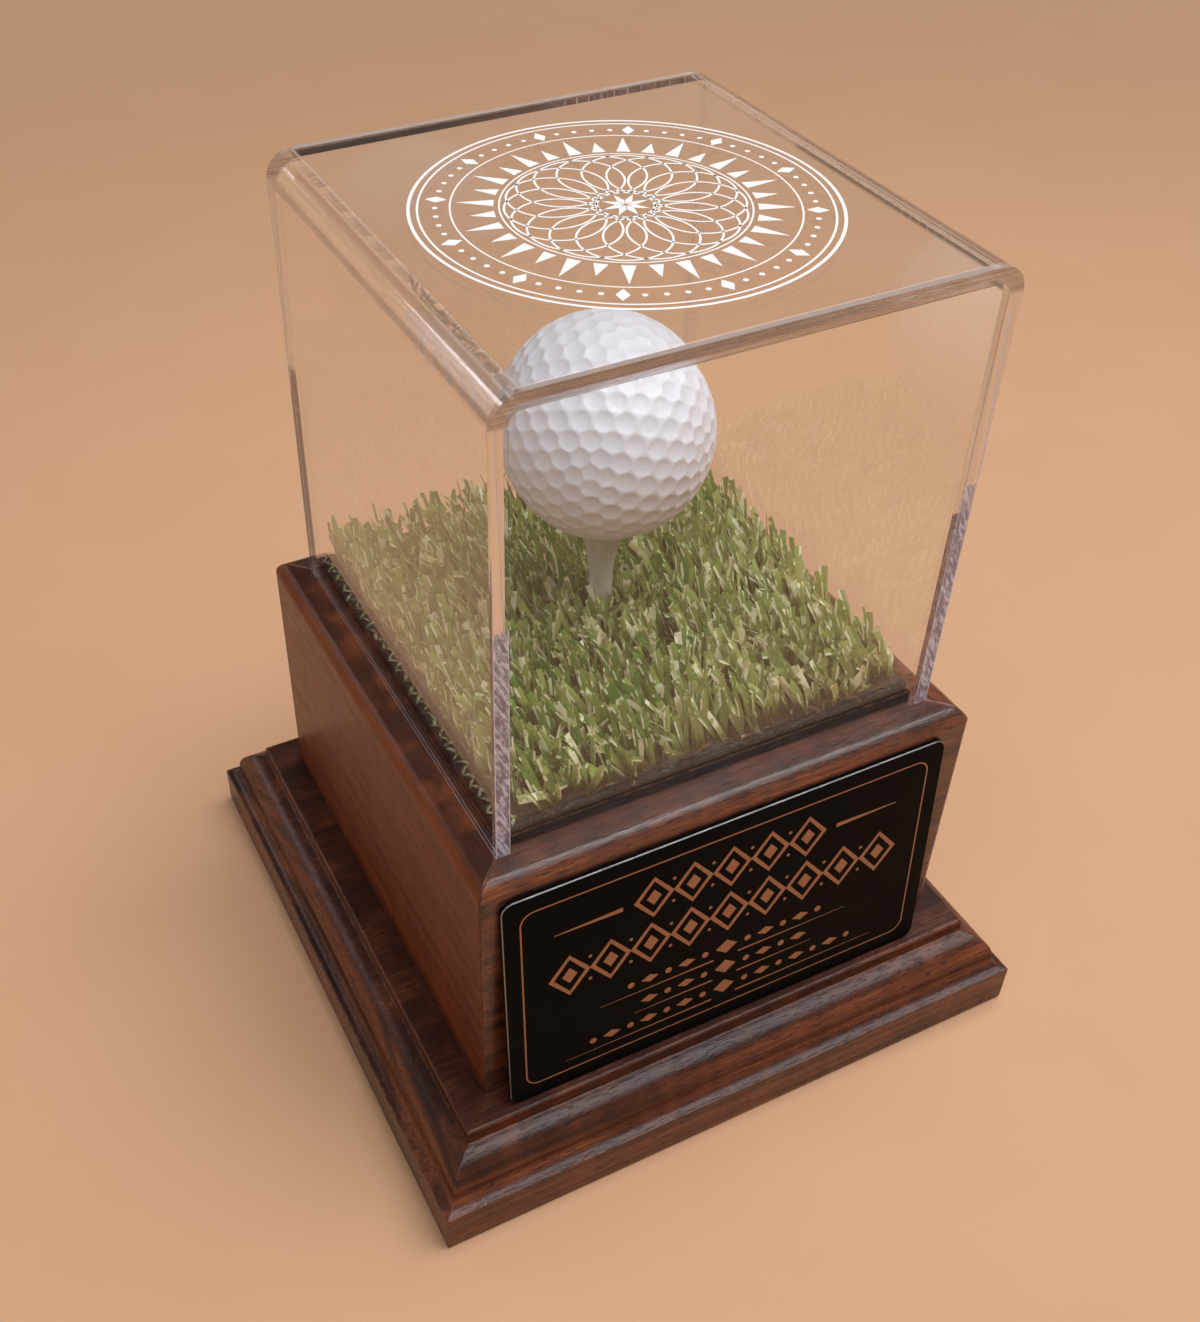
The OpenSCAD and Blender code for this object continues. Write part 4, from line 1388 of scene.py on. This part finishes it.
# %% Floor
FLOOR_COLOUR = rgb(0.565, 0.33, 0.192)
FLOOR_SHADE = rgb(0.555, 0.32, 0.184)  # the floor is very slightly uneven
FAR_FLOOR = rgb(0.55, 0.325, 0.20)    # the colour that the lit floor shows
HORIZON = rgb(0.70, 0.55, 0.42)
FLOOR_HALF = 4.0                      # metres


def floor_material():
    """A pale matt floor that glows by itself far away."""
    material, tree, place = new_material("pale_floor")
    speck = noise(tree, place, 0.02, 3.0)
    shader = node(tree, "ShaderNodeBsdfPrincipled", {
        "Base Color": mix_colour(tree, remap(tree, speck, 0.3, 0.7), FLOOR_SHADE, FLOOR_COLOUR),
        "Roughness": 0.7, "Specular IOR Level": 0.2})
    away = node(tree, "ShaderNodeVectorMath", {0: place}, operation="LENGTH").outputs["Value"]
    tint = mix_colour(tree, remap(tree, away, 900, 3600), FAR_FLOOR, HORIZON)
    glow = node(tree, "ShaderNodeEmission", {"Color": tint, "Strength": 1.0})
    path = node(tree, "ShaderNodeLightPath").outputs
    direct = most(tree, path["Is Camera Ray"], path["Is Transmission Ray"])
    far = times(tree, remap(tree, away, 350, 1100), direct)
    both = node(tree, "ShaderNodeMixShader", {0: far, 1: shader.outputs[0], 2: glow.outputs[0]})
    finish_material(tree, both.outputs[0])
    return material


floor_mesh = bpy.data.meshes.new("floor")
floor_mesh.from_pydata([(-FLOOR_HALF, -FLOOR_HALF, 0), (FLOOR_HALF, -FLOOR_HALF, 0),
                        (FLOOR_HALF, FLOOR_HALF, 0), (-FLOOR_HALF, FLOOR_HALF, 0)], [], [(0, 1, 2, 3)])
floor_mesh.materials.append(floor_material())
floor = bpy.data.objects.new("floor", floor_mesh)
scene.collection.objects.link(floor)
print("floor is", 2 * FLOOR_HALF, "m square")

# %% [markdown]
# The light is soft and plain: a large key lamp high over the front right corner, a weaker fill on the left, a
# small lamp low behind on the left that draws a thin light along the edges there, and an even light from
# above. The key is large, because its mirror image shows in the cover's flat top from above, and a large
# lamp of the same power is a paler one.

# %% Lamps
MIDDLE = (0, 0, 0.08)                 # the lamps are aimed at the middle of the case


def area_lamp(name, place, size, watts, colour):
    """A square soft lamp at place, facing the case."""
    lamp = bpy.data.lights.new(name, "AREA")
    lamp.shape = "SQUARE"
    lamp.size = size
    lamp.energy = watts
    lamp.color = colour
    holder = bpy.data.objects.new(name, lamp)
    holder.location = place
    holder.rotation_euler = (Vector(MIDDLE) - Vector(place)).to_track_quat("-Z", "Y").to_euler()
    scene.collection.objects.link(holder)
    print(name, "lamp", watts, "W,", size, "m square")


area_lamp("key", (0.26, -0.12, 0.86), 0.85, 8.7, (1.0, 0.97, 0.97))
area_lamp("back", (-0.56, 0.62, 0.48), 0.25, 0.6, (1.0, 0.90, 0.96))
area_lamp("fill", (-0.52, -0.34, 0.76), 0.6, 1.9, (0.92, 0.96, 1.0))

even = bpy.data.lights.new("even", "SUN")
even.energy, even.angle, even.color = 0.9, math.radians(60), (0.97, 0.98, 1.0)
sun = bpy.data.objects.new("even", even)
sun.rotation_euler = Vector((0.25, -0.15, 0.9)).to_track_quat("Z", "Y").to_euler()
scene.collection.objects.link(sun)

# %% [markdown]
# The surround is what clear walls and lacquer mirror. It is dim overhead, so that flat lacquered tops stay
# deep, and pale near the horizon. Rays that left through the clear cover see the floor's colour overhead,
# because in a room they would end on something warm. The scattered light that reaches the case from it is
# kept low, so white stays below pure white.

# %% Surround
OVERHEAD = rgb(0.065, 0.06, 0.065)
OVERHEAD_THROUGH = rgb(0.58, 0.34, 0.20)
AMBIENT_STRENGTH = 0.04

world = bpy.data.worlds.new("surround")
scene.world = world
world.use_nodes = True
surround = world.node_tree
surround.nodes.clear()
height = node(surround, "ShaderNodeSeparateXYZ",
              {"Vector": node(surround, "ShaderNodeTexCoord").outputs["Generated"]}).outputs["Z"]
path = node(surround, "ShaderNodeLightPath").outputs
overhead = mix_colour(surround, path["Is Transmission Ray"], OVERHEAD, OVERHEAD_THROUGH)
backdrop = mix_colour(surround, remap(surround, height, 0.2, 0.5), HORIZON, overhead)
seen = node(surround, "ShaderNodeBackground", {"Color": backdrop, "Strength": 1.0})
ambient = node(surround, "ShaderNodeBackground",
               {"Color": rgb(0.95, 0.92, 0.92), "Strength": AMBIENT_STRENGTH})
direct = most(surround, path["Is Camera Ray"], path["Is Glossy Ray"], path["Is Transmission Ray"])
both = node(surround, "ShaderNodeMixShader", {0: direct, 1: ambient.outputs[0], 2: seen.outputs[0]})
surround.links.new(both.outputs[0], node(surround, "ShaderNodeOutputWorld").inputs["Surface"])
print("surround uses", len(surround.nodes), "nodes")
